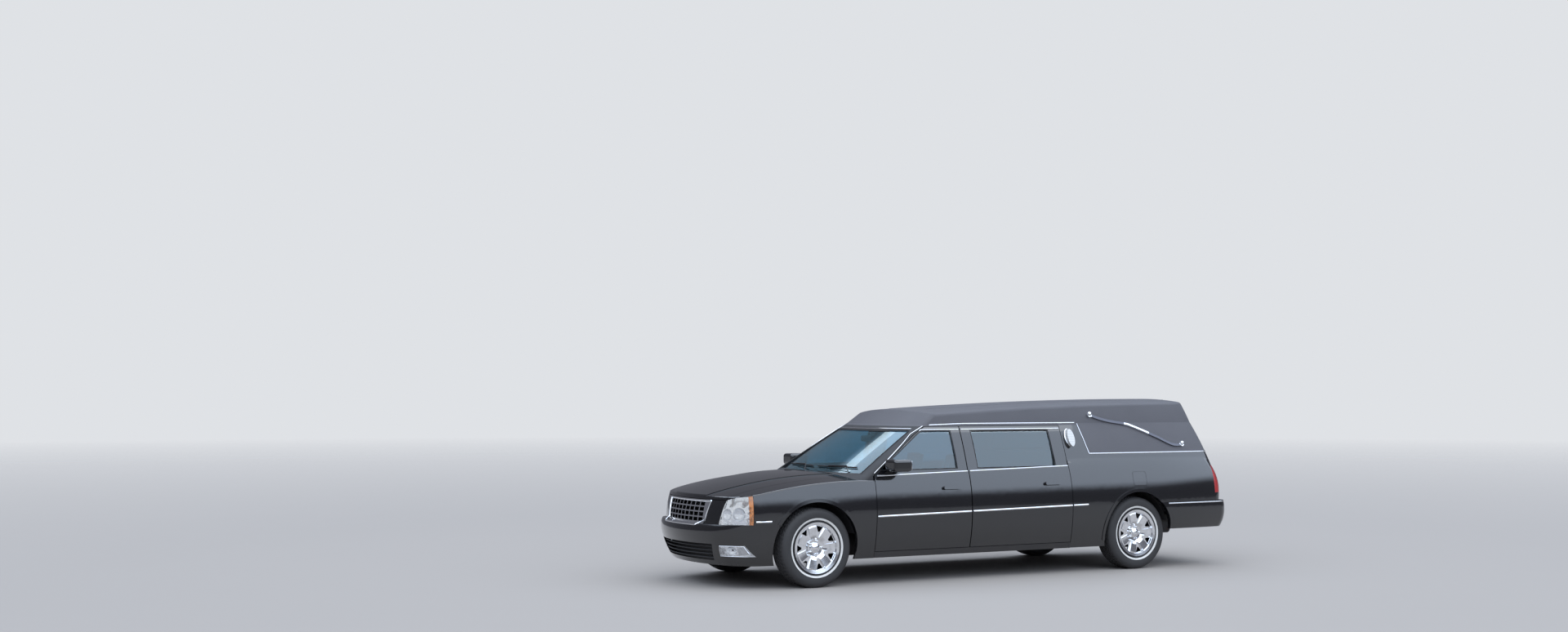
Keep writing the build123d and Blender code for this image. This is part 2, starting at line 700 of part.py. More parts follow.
def tyre():
    w, r = TYRE_W / 2, TYRE_R
    return spun([(RIM_R + 1, -91), (RIM_R + 1, 91), (FLANGE_R + 4, 96), (270, w - 2), (315, w),
                 (340, w - 12), (r - 2, w - 32), (r, 60), (r, -60), (r - 2, 32 - w),
                 (340, 12 - w), (315, -w), (270, 2 - w), (FLANGE_R + 4, -96)], 0)


def spoke_gap(r0, r1, half0, half1, y0, k):
    """Wedge between two spokes, cut outboard of y0."""
    wedge = side_prism([(r0, -half0), (r1, -half1), (r1, half1), (r0, half0)], y0, 140)
    return Rot(0, 360 / SPOKES * k, 0) * wedge


def rim():
    """Barrel with a seven-spoke face, its hub face 20 outboard of the centre plane."""
    barrel = spun([(196, -108), (FLANGE_R, -108), (FLANGE_R, -100), (RIM_R, -94),
                   (RIM_R, 94), (FLANGE_R, 100), (FLANGE_R, 108), (205, 104), (205, -96),
                   (196, -100)], 0)
    face = spun([(0, 20), (70, 20), (120, 58), (206, 66), (206, 95), (190, 98), (112, 88),
                 (76, 64), (46, 60), (46, 72), (30, 76), (0, 76)], 0)
    for k in range(SPOKES):
        face = face - spoke_gap(92, 200, 12, 52, 76, k)
        face = face - spoke_gap(146, 196, 8, 34, 0, k)
    return only(barrel + face)


WHEELS = [
    ("front_left", FRONT_AXLE_X, 1),
    ("front_right", FRONT_AXLE_X, -1),
    ("rear_left", REAR_AXLE_X, 1),
    ("rear_right", REAR_AXLE_X, -1),
]


def build():
    v = Volumes()
    nodes = {"floor_pan": floor_pan(v), "firewall": firewall(v), "front_rails": front_rails(),
             "rear_rails": rear_rails(), "rear_wheelhouses": rear_wheelhouses(),
             "door_pillars": door_pillars()}
    nodes["hood"] = hood(v)
    nodes["left_fender"] = left_fender(v)
    nodes["right_fender"] = mirrored(nodes["left_fender"])
    nodes["front_bumper"] = front_bumper(v)
    nodes["grille"] = grille(v)
    nodes["headlamp_lenses"] = headlamp_lenses(v)
    nodes["headlamp_housings"] = headlamp_housings(v)
    nodes["left_front_door"], nodes["left_rear_door"] = left_doors(v)
    nodes["left_front_glass"] = pane(FRONT_WINDOW)
    nodes["left_rear_glass"] = pane(REAR_WINDOW)
    nodes["left_mirror"] = left_mirror()
    for name in ("front_door", "rear_door", "front_glass", "rear_glass", "mirror"):
        nodes["right_" + name] = mirrored(nodes["left_" + name])
    nodes["windshield"] = windshield(v)
    nodes["load_door"] = load_door(v)
    nodes["load_door_glass"] = load_glass()
    nodes["vinyl_roof"] = roof(v)
    quarter = left_quarter(v)
    nodes["left_quarter"] = only(quarter - flap_seam())
    nodes["right_quarter"] = mirrored(quarter)
    nodes["rear_bumper"] = rear_bumper(v)
    nodes["tail_lamps"] = tail_lamps(v)
    nodes["landau_bars"] = landau_bars()
    nodes["coach_lamps"] = coach_lamps()
    nodes["dashboard"] = dashboard()
    nodes["steering_wheel"] = steering_wheel()
    nodes["front_seats"] = front_seats()
    nodes["casket_deck"] = casket_deck()
    nodes["engine"] = engine()
    nodes["front_suspension"] = front_suspension()
    nodes["left_knuckle"] = left_knuckle()
    nodes["right_knuckle"] = mirrored(nodes["left_knuckle"])
    nodes["rear_axle"] = rear_axle()
    nodes["fuel_tank"] = fuel_tank()
    nodes["exhaust"] = exhaust()
    for name, x, side in WHEELS:
        place = Pos(x, side * WHEEL_Y, AXLE_Z)
        face = rim() if side > 0 else mirrored(rim())
        nodes[name + "_tyre"] = place * tyre()
        nodes[name + "_rim"] = place * face
    return nodes


if __name__ == "__main__":
    os.makedirs("parts", exist_ok=True)
    for name, shape in build().items():
        export_step(shape, os.path.join("parts", name + ".step"))
        print(name, len(shape.solids()), round(shape.volume / 1e6, 2))
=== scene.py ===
"""Finish, trim, wheels, cabin and studio of the hearse, laid out as an add-on and run as a script.

Metres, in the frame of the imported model: +X forward, +Y left, +Z up, ground at z = 0.
"""
import json
from collections import namedtuple
from math import atan2, cos, pi, radians, sin

import bpy
from bpy.props import FloatProperty, FloatVectorProperty, IntProperty, PointerProperty
from bpy.types import Operator, Panel, PropertyGroup
from mathutils import Matrix, Vector

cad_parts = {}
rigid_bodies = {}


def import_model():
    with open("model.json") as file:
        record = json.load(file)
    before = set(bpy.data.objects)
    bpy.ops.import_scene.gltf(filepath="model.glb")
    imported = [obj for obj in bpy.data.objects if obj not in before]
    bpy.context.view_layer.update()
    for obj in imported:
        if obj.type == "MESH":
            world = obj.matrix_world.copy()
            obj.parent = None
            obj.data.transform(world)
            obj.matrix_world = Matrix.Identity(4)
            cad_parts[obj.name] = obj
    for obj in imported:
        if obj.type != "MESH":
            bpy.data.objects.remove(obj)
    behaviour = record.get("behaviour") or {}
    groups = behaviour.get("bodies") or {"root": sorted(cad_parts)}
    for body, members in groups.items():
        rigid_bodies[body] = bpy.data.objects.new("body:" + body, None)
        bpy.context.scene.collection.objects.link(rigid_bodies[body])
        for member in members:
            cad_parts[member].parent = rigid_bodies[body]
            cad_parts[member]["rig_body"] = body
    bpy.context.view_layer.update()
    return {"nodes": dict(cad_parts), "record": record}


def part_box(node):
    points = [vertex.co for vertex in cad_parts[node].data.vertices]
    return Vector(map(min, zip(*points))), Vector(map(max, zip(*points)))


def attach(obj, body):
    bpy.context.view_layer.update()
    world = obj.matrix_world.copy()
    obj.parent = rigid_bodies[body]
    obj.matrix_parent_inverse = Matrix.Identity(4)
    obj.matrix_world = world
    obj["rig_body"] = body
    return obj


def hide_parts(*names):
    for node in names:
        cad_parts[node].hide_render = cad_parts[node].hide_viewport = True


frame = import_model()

bl_info = {
    "name": "Hearse finish and trim",
    "version": (1, 0, 0),
    "blender": (4, 5, 0),
    "location": "3D View > Sidebar > Hearse",
    "description": "Adds finish, trim, wheels, cabin and studio to the hearse",
    "category": "Object",
}

NODES = frame["nodes"]
WHEELS = ("front_left", "front_right", "rear_left", "rear_right")


def colour(name, default, about):
    return FloatVectorProperty(name=name, default=default, size=3, min=0, max=1,
                               subtype="COLOR", description=about)


def length(name, default, about):
    return FloatProperty(name=name, default=default, min=0, unit="LENGTH", precision=4,
                         description=about)


class HearseColours(PropertyGroup):
    """Linear colours of the finishes."""
    paint: colour("Paint", (0.0040, 0.0040, 0.0052), "Gloss black body paint")
    film: colour("Road film", (0.045, 0.038, 0.033), "Dust along the lower body")
    vinyl: colour("Vinyl", (0.078, 0.077, 0.086), "Grained roof covering")
    chrome: colour("Chrome", (0.86, 0.87, 0.89), "Bright trim and wheels")
    glass: colour("Side glass", (0.19, 0.27, 0.32), "Tinted windows")
    screen: colour("Windshield", (0.52, 0.62, 0.68), "Lighter tint at the front")
    lamp_red: colour("Lamp red", (0.42, 0.022, 0.022), "Tail lamp lenses")
    amber: colour("Amber", (0.82, 0.36, 0.16), "Side markers")
    rubber: colour("Rubber", (0.020, 0.020, 0.022), "Tyres")
    whitewall: colour("Whitewall", (0.72, 0.71, 0.68), "Thin ring on the tyres")
    leather: colour("Leather", (0.042, 0.041, 0.046), "Front seats")
    carpet: colour("Carpet", (0.030, 0.029, 0.033), "Load deck covering")
    floor: colour("Floor", (0.345, 0.320, 0.298), "Studio floor")


class HearseSizes(PropertyGroup):
    """Sizes of the bright trim and of the tyres' and seats' detail."""
    moulding_height: length("Side moulding height", 0.018, "Bright strip along the doors")
    moulding_depth: length("Side moulding depth", 0.014, "How far it stands across")
    trim_height: length("Trim height", 0.013, "Belt, window and drip trim")
    trim_depth: length("Trim depth", 0.009, "Thickness of belt, window and drip trim")
    seal: length("Seal width", 0.010, "Rubber seals round the side glass")
    whitewall_in: length("Whitewall inner radius", 0.249, "Inner edge of the pale ring")
    whitewall_out: length("Whitewall outer radius", 0.268, "Outer edge of the pale ring")
    lug_count: IntProperty(name="Wheel nuts", default=5, min=3, description="Nuts on each wheel")
    lug_radius: length("Nut circle radius", 0.060, "Radius of the circle of nuts")
    voxel: length("Pad voxel", 0.007, "Voxel of the seat pads")
    swell: length("Pad swell", 0.014, "How far a seat pad may swell")


class HearseStudio(PropertyGroup):
    """Camera, backdrop and light."""
    lens: FloatProperty(name="Lens", default=39.58, unit="CAMERA", description="Focal length")
    camera: FloatVectorProperty(name="Camera", default=(9.657, 14.445, 1.70), size=3,
                                subtype="TRANSLATION", description="Place of the camera")
    heading: FloatVectorProperty(name="Heading", default=(-0.4772, -0.8788), size=2,
                                 description="Level direction that the camera looks in")
    pitch: FloatProperty(name="Pitch", default=0.04781, subtype="ANGLE",
                         description="How far the camera looks up")
    backdrop: colour("Backdrop", (0.74, 0.76, 0.79), "What is seen behind the car")
    horizon: colour("Horizon", (0.145, 0.150, 0.175), "Light at eye level")
    sky: FloatVectorProperty(name="Sky", default=(1.8, 2.07, 2.5), size=3, min=0,
                             description="Light of the bright band above it")
    zenith: FloatVectorProperty(name="Zenith", default=(1.75, 1.85, 2.0), size=3, min=0,
                                description="Light from above")
    lean: FloatProperty(name="Sky lean", default=0.30,
                        description="How much lower the sky reaches on the camera's side")
    strip_light: FloatProperty(name="Strip lights", default=30, unit="POWER",
                               description="Each long strip light beside the car")


def settings():
    scene = bpy.context.scene
    return scene.hearse_colours, scene.hearse_sizes, scene.hearse_studio


# Shader maths
class Value:
    """An output socket that takes Python's arithmetic."""
    def __init__(self, shader, socket):
        self.shader, self.socket = shader, socket

    def math(self, operation, *values):
        return self.shader.node("ShaderNodeMath", {"operation": operation}, *values)

    def __add__(self, other):
        return self.math("ADD", self, other)

    def __sub__(self, other):
        return self.math("SUBTRACT", self, other)

    def __rsub__(self, other):
        return self.math("SUBTRACT", other, self)

    def __mul__(self, other):
        return self.math("MULTIPLY", self, other)

    def __pow__(self, other):
        return self.math("POWER", self, other)

    def sine(self):
        return self.math("SINE", self)

    def clamped(self):
        self.socket.node.use_clamp = True
        return self

    __radd__ = __add__
    __rmul__ = __mul__


class Shader:
    """The nodes of one material or world, which node() adds and close() puts to use."""
    def __init__(self, name, owners="materials", space="Object"):
        self.owner = getattr(bpy.data, owners).new(name)
        self.owner.use_nodes = True
        self.tree = self.owner.node_tree
        self.tree.nodes.clear()
        self.place = self.node("ShaderNodeTexCoord", output=space)
        parts = self.node("ShaderNodeSeparateXYZ", {}, self.place)
        self.x, self.y, self.z = (Value(self, s) for s in parts.socket.node.outputs)

    def node(self, kind, options=None, *values, output=0, **named):
        """A node with its settings, then its sockets' values or links, by order or by name."""
        made = self.tree.nodes.new(kind)
        for key, value in (options or {}).items():
            if key == "stops":
                self.set_stops(made.color_ramp, value)
            else:
                setattr(made, key, value)
        for key, value in [*enumerate(values), *named.items()]:
            self.link(value, made.inputs[key.replace("_", " ") if isinstance(key, str) else key])
        return Value(self, made.outputs[output])

    def set_stops(self, ramp, stops):
        ramp.interpolation = "EASE"
        while len(ramp.elements) < len(stops):
            ramp.elements.new(0.5)
        for element, (place, level) in zip(ramp.elements, stops):
            element.position = place
            element.color = (*level, 1)

    def link(self, value, socket):
        if isinstance(value, Value):
            self.tree.links.new(value.socket, socket)
        elif hasattr(value, "__len__") and len(value) == 3 and socket.type == "RGBA":
            socket.default_value = (*value, 1)
        else:
            socket.default_value = value

    def noise(self, scale, detail=3, roughness=0.55):
        return self.node("ShaderNodeTexNoise", {}, Vector=self.place, Scale=scale, Detail=detail,
                         Roughness=roughness)

    def cells(self, scale):
        return self.node("ShaderNodeTexVoronoi", {}, Vector=self.place, Scale=scale)

    def mix(self, factor, first, second):
        """Mixes two colours, which are sockets 6 and 7 of the node."""
        made = self.tree.nodes.new("ShaderNodeMix")
        made.data_type = "RGBA"
        for value, socket in zip((factor, first, second), (0, 6, 7)):
            self.link(value, made.inputs[socket])
        return Value(self, made.outputs[2])

    def band(self, value, low, high):
        """0 below low, 1 above high, a straight ramp between."""
        return self.node("ShaderNodeMapRange", {}, value, low, high, 0.0, 1.0)

    def bump(self, height, distance, strength):
        return self.node("ShaderNodeBump", {}, Height=height, Distance=distance, Strength=strength)

    def finish(self, colour, roughness, **sockets):
        body = self.node("ShaderNodeBsdfPrincipled", {}, Base_Color=colour, Roughness=roughness,
                         **sockets)
        return self.close("ShaderNodeOutputMaterial", body)

    def close(self, kind, surface):
        self.link(surface, self.tree.nodes.new(kind).inputs[0])
        return self.owner


def shade(colour, k):
    return [v * k for v in colour]


# Finishes. Noise and cells take a scale per metre, and a band along an axis its ends in metres
def gloss_paint(c):
    s = Shader("gloss_black_paint")
    low = 1 - s.band(s.z, 0.20, 0.62)
    film = (low * s.noise(7, 5) * 0.9).clamped()
    dust = (s.noise(2.2, 6, 0.7) ** 3) * 0.10
    base = s.mix(film * 0.30 + dust * 0.3, c.paint, c.film)
    peel = s.noise(520, 1)
    return s.finish(base, film * 0.22 + dust * 0.5 + 0.16, Coat_Weight=1.0, Coat_Roughness=0.02,
                    Coat_IOR=1.65, Specular_IOR_Level=0.25, Normal=s.bump(peel, 0.00004, 0.35))


def satin_frame(c):
    s = Shader("satin_underbody")
    grime = s.noise(5, 6, 0.65)
    low = 1 - s.band(s.z, 0.15, 0.75)
    base = s.mix((low * grime).clamped(), (0.016, 0.016, 0.018), c.film)
    return s.finish(base, grime * 0.3 + 0.45, Normal=s.bump(s.noise(140, 3), 0.0006, 0.5))


def grained_vinyl(c):
    s = Shader("grained_vinyl")
    grain = s.cells(330) + s.noise(700, 2) * 0.6
    wave = s.noise(3, 3)
    base = s.mix(wave * 0.55, c.vinyl, shade(c.vinyl, 0.72))
    base = s.mix(s.band(grain, 0.25, 0.75) * 0.35, base, shade(c.vinyl, 1.5))
    return s.finish(base, wave * 0.12 + 0.50, Specular_IOR_Level=0.42,
                    Normal=s.bump(grain, 0.0007, 0.75))


def bright_chrome(c):
    s = Shader("bright_chrome")
    haze = s.noise(14, 4)
    base = s.mix(haze * 0.10, c.chrome, (0.60, 0.62, 0.66))
    return s.finish(base, haze * 0.05 + 0.045, Metallic=1.0)


def wheel_chrome(c):
    s = Shader("wheel_chrome")
    dust = s.noise(26, 5, 0.65) ** 3
    base = s.mix((dust * 0.9).clamped(), c.chrome, (0.20, 0.185, 0.17))
    return s.finish(base, dust * 0.35 + 0.07, Metallic=1.0, Normal=s.bump(s.noise(60, 2), 0.0004, 0.2))


def pane(name, tint, coat):
    """Clear tinted glass; coat is the refractive index of its reflecting skin."""
    s = Shader(name)
    smear = s.noise(4, 5, 0.6) ** 3
    return s.finish(tint, smear * 0.06 + 0.01, Transmission_Weight=1.0, IOR=1.52,
                    Specular_IOR_Level=0.8, Coat_Weight=1.0, Coat_IOR=coat,
                    Coat_Tint=(0.70, 0.93, 1.0), Coat_Roughness=0.01)


def lamp_glass(c):
    s = Shader("lamp_glass")
    return s.finish((0.96, 0.98, 1.0), 0.02, Transmission_Weight=1.0, IOR=1.46,
                    Normal=s.bump((s.y * 420).sine(), 0.0004, 0.25))


# Front and foot of the amber markers, ends of the landau bars, and where the floor fades
MARKER_FRONT, MARKER_FOOT = 2.594, 0.450
BAR_FRONT, BAR_REAR = -1.312, -2.366
FLOOR_FADE = (9.0, 60.0)


def lamp_reflector(c):
    """Silver, with an amber marker at the outer end of the headlamps, above the fog lamps."""
    s = Shader("lamp_reflector")
    facets = s.cells(60)
    base = s.mix(facets * 0.4, (0.90, 0.91, 0.93), (0.62, 0.64, 0.68))
    marker = s.band(s.z, MARKER_FOOT, MARKER_FOOT + 0.010)
    marker = marker * (1 - s.band(s.x, MARKER_FRONT, MARKER_FRONT + 0.003))
    return s.finish(s.mix(marker, base, c.amber), 0.14, Metallic=1.0,
                    Normal=s.bump(facets, 0.0014, 0.4))


def red_lens(c):
    s = Shader("red_lens")
    ribs = (s.z * 520).sine()
    base = s.mix(ribs * 0.25 + 0.25, c.lamp_red, shade(c.lamp_red, 0.45))
    return s.finish(base, 0.07, Coat_Weight=1.0, Coat_Roughness=0.02, Normal=s.bump(ribs, 0.0006, 0.5))


def coach_glass(c):
    s = Shader("coach_lamp_glass")
    ribs = (s.z * 380).sine()
    base = s.mix(ribs * 0.3 + 0.3, (0.62, 0.62, 0.60), (0.34, 0.36, 0.38))
    return s.finish(base, 0.12, Coat_Weight=1.0, Normal=s.bump(ribs, 0.0008, 0.6))


def moulded_black(c):
    s = Shader("moulded_black")
    base = s.mix(s.noise(6, 4) * 0.5, (0.018, 0.018, 0.020), (0.032, 0.031, 0.032))
    return s.finish(base, s.noise(30, 3) * 0.2 + 0.42, Normal=s.bump(s.cells(420), 0.0004, 0.5))


def seat_leather(c):
    s = Shader("seat_leather")
    grain = s.cells(260) + s.noise(90, 4) * 0.4
    base = s.mix(s.noise(9, 4) * 0.5, c.leather, shade(c.leather, 1.7))
    return s.finish(base, s.noise(22, 3) * 0.18 + 0.38, Normal=s.bump(grain, 0.0008, 0.6))


def deck_carpet(c):
    s = Shader("deck_carpet")
    pile = s.noise(900, 2) + s.noise(160, 3) * 0.5
    base = s.mix(s.noise(12, 4) * 0.6, c.carpet, shade(c.carpet, 1.9))
    return s.finish(base, 0.92, Sheen_Weight=0.4, Normal=s.bump(pile, 0.0015, 0.8))


def chassis_steel(c):
    s = Shader("chassis_steel")
    rust = s.band(s.noise(11, 6, 0.7), 0.52, 0.70)
    base = s.mix(rust * 0.6, (0.055, 0.055, 0.058), (0.110, 0.050, 0.026))
    return s.finish(base, rust * 0.3 + 0.45, Metallic=0.6, Normal=s.bump(s.noise(80, 4), 0.0008, 0.6))


def cast_iron(c):
    s = Shader("cast_iron")
    base = s.mix(s.noise(16, 5), (0.045, 0.045, 0.048), (0.095, 0.090, 0.085))
    return s.finish(base, 0.62, Metallic=0.5, Normal=s.bump(s.noise(220, 4), 0.0012, 0.8))


def tyre_rubber(c):
    s = Shader("tyre_rubber")
    scuff = s.noise(18, 5, 0.7)
    base = s.mix(scuff * 0.5, c.rubber, (0.050, 0.046, 0.042))
    return s.finish(base, scuff * 0.22 + 0.58, Normal=s.bump(s.noise(240, 3), 0.0005, 0.5))


def whitewall(c):
    s = Shader("whitewall")
    grey = s.noise(24, 5, 0.7)
    base = s.mix((grey ** 2) * 0.8, c.whitewall, (0.36, 0.34, 0.31))
    return s.finish(base, grey * 0.2 + 0.45, Normal=s.bump(s.noise(200, 2), 0.0003, 0.5))


def landau_chrome(c):
    """Chrome bar given a dark grey as a painted dark reflection, with bright chrome ends."""
    s = Shader("landau_chrome")
    front, rear = s.band(s.x, BAR_FRONT, BAR_FRONT + 0.006), s.band(s.x, BAR_REAR - 0.006, BAR_REAR)
    ends = (front + (1 - rear)).clamped()
    # The bar's middle takes a dark grey in place of chrome, a painted dark reflection; only the ends
    # keep the chrome colour.
    base = s.mix(ends, (0.11, 0.11, 0.125), c.chrome)
    return s.finish(base, s.noise(40, 3) * 0.08 + 0.10, Metallic=1.0)


def speckled(name, first, second, rough, metallic=0.0):
    """Plain stuff with cloudy colour and a fine grain."""
    s = Shader(name)
    cloud = s.noise(9, 5, 0.65)
    return s.finish(s.mix(cloud, first, second), cloud * 0.12 + rough, Metallic=metallic,
                    Normal=s.bump(s.noise(200, 3), 0.0004, 0.5))


def radiator_fins(c):
    s = Shader("radiator_fins")
    fins, rows = (s.y * 2400).sine(), (s.z * 420).sine()
    base = s.mix(fins * 0.3 + rows * 0.2 + 0.5, (0.010, 0.010, 0.011), (0.060, 0.060, 0.063))
    return s.finish(base, 0.5, Metallic=0.6, Normal=s.bump(fins + rows, 0.001, 0.7))


def studio_floor(c):
    """Pale floor that fades into the backdrop with distance."""
    s = Shader("studio_floor")
    near = 1 - s.band((s.x * s.x + s.y * s.y) ** 0.5, *FLOOR_FADE)
    base = s.mix(s.noise(0.8, 4) * 0.12, c.floor, shade(c.floor, 0.90))
    return s.finish(base, 0.7, Specular_IOR_Level=0.1, Alpha=near)


# The record's material slots, then the finishes that pieces take in place of their slot's
MAKERS = {
    "black_paint": gloss_paint, "frame_paint": satin_frame, "vinyl": grained_vinyl,
    "chrome": bright_chrome, "wheel_chrome": wheel_chrome, "lamp_glass": lamp_glass,
    "lamp_inner": lamp_reflector, "red_lamp": red_lens, "coach_lamp": coach_glass,
    "trim_black": moulded_black, "seat_leather": seat_leather, "deck_trim": deck_carpet,
    "chassis_steel": chassis_steel, "engine_iron": cast_iron, "tyre_rubber": tyre_rubber,
    "tinted_glass": lambda c: pane("tinted_glass", c.glass, 1.65),
    "screen_glass": lambda c: pane("screen_glass", c.screen, 1.35),
    "whitewall": whitewall, "landau": landau_chrome, "radiator": radiator_fins,
    "mirror": lambda c: speckled("mirror_silver", (0.80, 0.82, 0.84), (0.74, 0.76, 0.79), 0.02, 1.0),
    "plate": lambda c: speckled("blank_plate", (0.72, 0.72, 0.70), (0.66, 0.66, 0.65), 0.40),
    "display": lambda c: speckled("display", (0.006, 0.007, 0.009), (0.012, 0.014, 0.018), 0.08),
    "dial": lambda c: speckled("dial", (0.40, 0.41, 0.42), (0.30, 0.31, 0.33), 0.30),
    "lining": lambda c: speckled("load_lining", (0.115, 0.110, 0.115), (0.080, 0.077, 0.082), 0.85),
    "tank": lambda c: speckled("tank", (0.62, 0.62, 0.56), (0.50, 0.50, 0.45), 0.45),
    "seal": lambda c: speckled("seal_rubber", (0.010, 0.010, 0.011), (0.022, 0.021, 0.021), 0.55),
}
# The landau bars take the finish whose dark middle is a painted dark reflection.
NODE_FINISH = {"windshield": "screen_glass", "landau_bars": "landau"}
FINISHES = {}


def finish_of(name):
    """A material by the name of its finish, made once."""
    if name not in FINISHES:
        FINISHES[name] = MAKERS[name](settings()[0])
    return FINISHES[name]


# Hand tools
# Distance at which points weld, angles in degrees of smooth and of bevelled edges, and the bevel
# of a rod's ends as a share of its radius
WELD, SMOOTH, SHARP, ROD_EDGE = 0.00002, 35, 40, 0.12


def deselect():
    if bpy.context.mode != "OBJECT":
        bpy.ops.object.mode_set(mode="OBJECT")
    bpy.ops.object.select_all(action="DESELECT")


def take(piece):
    deselect()
    piece.select_set(True)
    bpy.context.view_layer.objects.active = piece


def edit_all():
    bpy.ops.object.mode_set(mode="EDIT")
    bpy.ops.mesh.select_all(action="SELECT")


def apply_place():
    bpy.ops.object.transform_apply(location=True, rotation=True, scale=True)


def named(piece, name):
    piece.name = piece.data.name = name
    return piece


def made(name):
    """The primitive just added, named, with its place in its mesh."""
    apply_place()
    return named(bpy.context.active_object, name)


def select(piece, test, kind):
    """Selects the vertices or faces, by kind, whose place passes test, and stays in edit mode."""
    bpy.ops.object.mode_set(mode="EDIT")
    bpy.ops.mesh.select_mode(type=kind)
    bpy.ops.mesh.select_all(action="DESELECT")
    bpy.ops.object.mode_set(mode="OBJECT")
    if kind == "VERT":
        for vertex in piece.data.vertices:
            vertex.select = test(vertex.co)
    else:
        for face in piece.data.polygons:
            face.select = test(face.center)
    bpy.ops.object.mode_set(mode="EDIT")


def apply_modifier(piece, kind, **values):
    take(piece)
    modifier = piece.modifiers.new(kind.title(), kind)
    for key, value in values.items():
        setattr(modifier, key, value)
    bpy.ops.object.modifier_apply(modifier=modifier.name)
    return piece


def fit(piece, body, slot, finish=None, smooth=SMOOTH):
    """Welds a finished mesh, turns its faces out, and gives it smoothing, finish and body."""
    take(piece)
    edit_all()
    bpy.ops.mesh.remove_doubles(threshold=WELD)
    bpy.ops.mesh.normals_make_consistent(inside=False)
    bpy.ops.object.mode_set(mode="OBJECT")
    bpy.ops.object.shade_smooth_by_angle(angle=radians(smooth))
    piece.data.materials.clear()
    piece.data.materials.append(finish_of(finish or slot))
    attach(piece, body)
    return piece


def both_sides(piece, body, slot, finish=None, smooth=SMOOTH):
    """Fits a left piece and a mirrored copy on the right, which has its own mesh."""
    name = piece.name
    take(piece)
    bpy.ops.object.duplicate()
    other = named(bpy.context.active_object, "right_" + name)
    other.scale = (1, -1, 1)
    apply_place()
    fit(named(piece, "left_" + name), body, slot, finish, smooth)
    fit(other, body.replace("left", "right"), slot, finish, smooth)
    return piece, other


def settle(piece, body, slot, finish, pair):
    """Fits a piece, on both sides if it is one of a pair."""
    (both_sides if pair else fit)(piece, body, slot, finish)


def join(name, pieces):
    """One mesh of several."""
    take(pieces[0])
    for piece in pieces:
        piece.select_set(True)
    bpy.ops.object.join()
    return named(pieces[0], name)


def turned(piece, pivot, angle):
    """Turns a mesh about a line along Y through a point."""
    take(piece)
    pivot = Vector(pivot)
    piece.matrix_world = (Matrix.Translation(pivot) @ Matrix.Rotation(angle, 4, "Y")
                          @ Matrix.Translation(-pivot))
    apply_place()
    return piece


def rounded_block(name, low, high, radius, segments=3):
    """Block between two corners with rounded edges."""
    low, high = Vector(low), Vector(high)
    deselect()
    bpy.ops.mesh.primitive_cube_add(size=1, location=(low + high) / 2, scale=high - low)
    return apply_modifier(made(name), "BEVEL", width=radius, segments=segments)


def rod(name, start, end, radius, sides=24):
    """Round bar between two points, with softened ends."""
    start, end = Vector(start), Vector(end)
    deselect()
    bpy.ops.mesh.primitive_cylinder_add(
        vertices=sides, radius=radius, depth=(end - start).length, location=(start + end) / 2,
        rotation=(end - start).to_track_quat("Z", "Y").to_euler())
    return apply_modifier(made(name), "BEVEL", width=radius * ROD_EDGE, segments=2,
                          limit_method="ANGLE", angle_limit=radians(SHARP))


def lathe(name, profile, centre, segments):
    """Closed ring turned about the Y axis through centre; profile holds radius and y pairs."""
    centre = Vector(centre)
    radius, y = profile[0]
    deselect()
    bpy.ops.mesh.primitive_circle_add(vertices=segments, radius=radius,
                                      location=centre + Vector((0, y, 0)), rotation=(pi / 2, 0, 0))
    piece = made(name)
    bpy.ops.object.mode_set(mode="EDIT")
    bpy.ops.mesh.select_mode(type="EDGE")
    bpy.ops.mesh.select_all(action="SELECT")
    for next_radius, next_y in profile[1:]:
        bpy.ops.mesh.extrude_region_move(TRANSFORM_OT_translate={"value": (0, next_y - y, 0)})
        if next_radius == 0:
            bpy.ops.mesh.merge(type="CENTER")
            break
        k = next_radius / radius
        bpy.ops.transform.resize(value=(k, 1, k), center_override=centre)
        radius, y = next_radius, next_y
    bpy.ops.mesh.select_all(action="DESELECT")
    bpy.ops.mesh.select_non_manifold()
    if profile[-1][0] == 0:
        bpy.ops.mesh.edge_face_add()
    else:
        bpy.ops.mesh.bridge_edge_loops()
    bpy.ops.object.mode_set(mode="OBJECT")
    return piece


def traced(name, points):
    """Line of edges through points, left in edit mode with its last point selected."""
    deselect()
    bpy.ops.mesh.primitive_plane_add(size=0.001, location=points[0])
    path = made(name)
    edit_all()
    bpy.ops.mesh.merge(type="CENTER")
    for a, b in zip(points, points[1:]):
        bpy.ops.mesh.extrude_region_move(TRANSFORM_OT_translate={"value": b - a})
    return path


def swept(name, points, shift, thickness):
    """Sheet of some thickness, swept along shift by a line of points."""
    sheet = traced(name, points)
    bpy.ops.mesh.select_all(action="SELECT")
    bpy.ops.mesh.extrude_region_move(TRANSFORM_OT_translate={"value": shift})
    bpy.ops.object.mode_set(mode="OBJECT")
    return apply_modifier(sheet, "SOLIDIFY", thickness=thickness, offset=0)


def section(width, height):
    """Oval curve used as the cross-section of trim."""
    deselect()
    bpy.ops.curve.primitive_bezier_circle_add(radius=1)
    oval = bpy.context.active_object
    oval.scale = (width / 2, height / 2, 1)
    bpy.ops.object.transform_apply(location=False, rotation=False, scale=True)
    oval.data.resolution_u = 3
    return oval


def drawn(name, points, width, height, lean=0.0, closed=False):
    """Oval trim drawn along points: width level, height upright, before it leans by an angle."""
    traced(name, points)
    bpy.ops.object.mode_set(mode="OBJECT")
    bpy.ops.object.convert(target="CURVE")
    path = bpy.context.active_object
    curve = path.data
    curve.dimensions, curve.twist_mode = "3D", "Z_UP"
    curve.bevel_mode, curve.bevel_object = "OBJECT", section(width, height)
    curve.use_fill_caps = True
    for spline in curve.splines:
        spline.use_cyclic_u = closed
        for point in spline.points:
            point.tilt = lean
    oval = curve.bevel_object
    take(path)
    bpy.ops.object.convert(target="MESH")
    bpy.data.objects.remove(oval)
    return named(bpy.context.active_object, name)


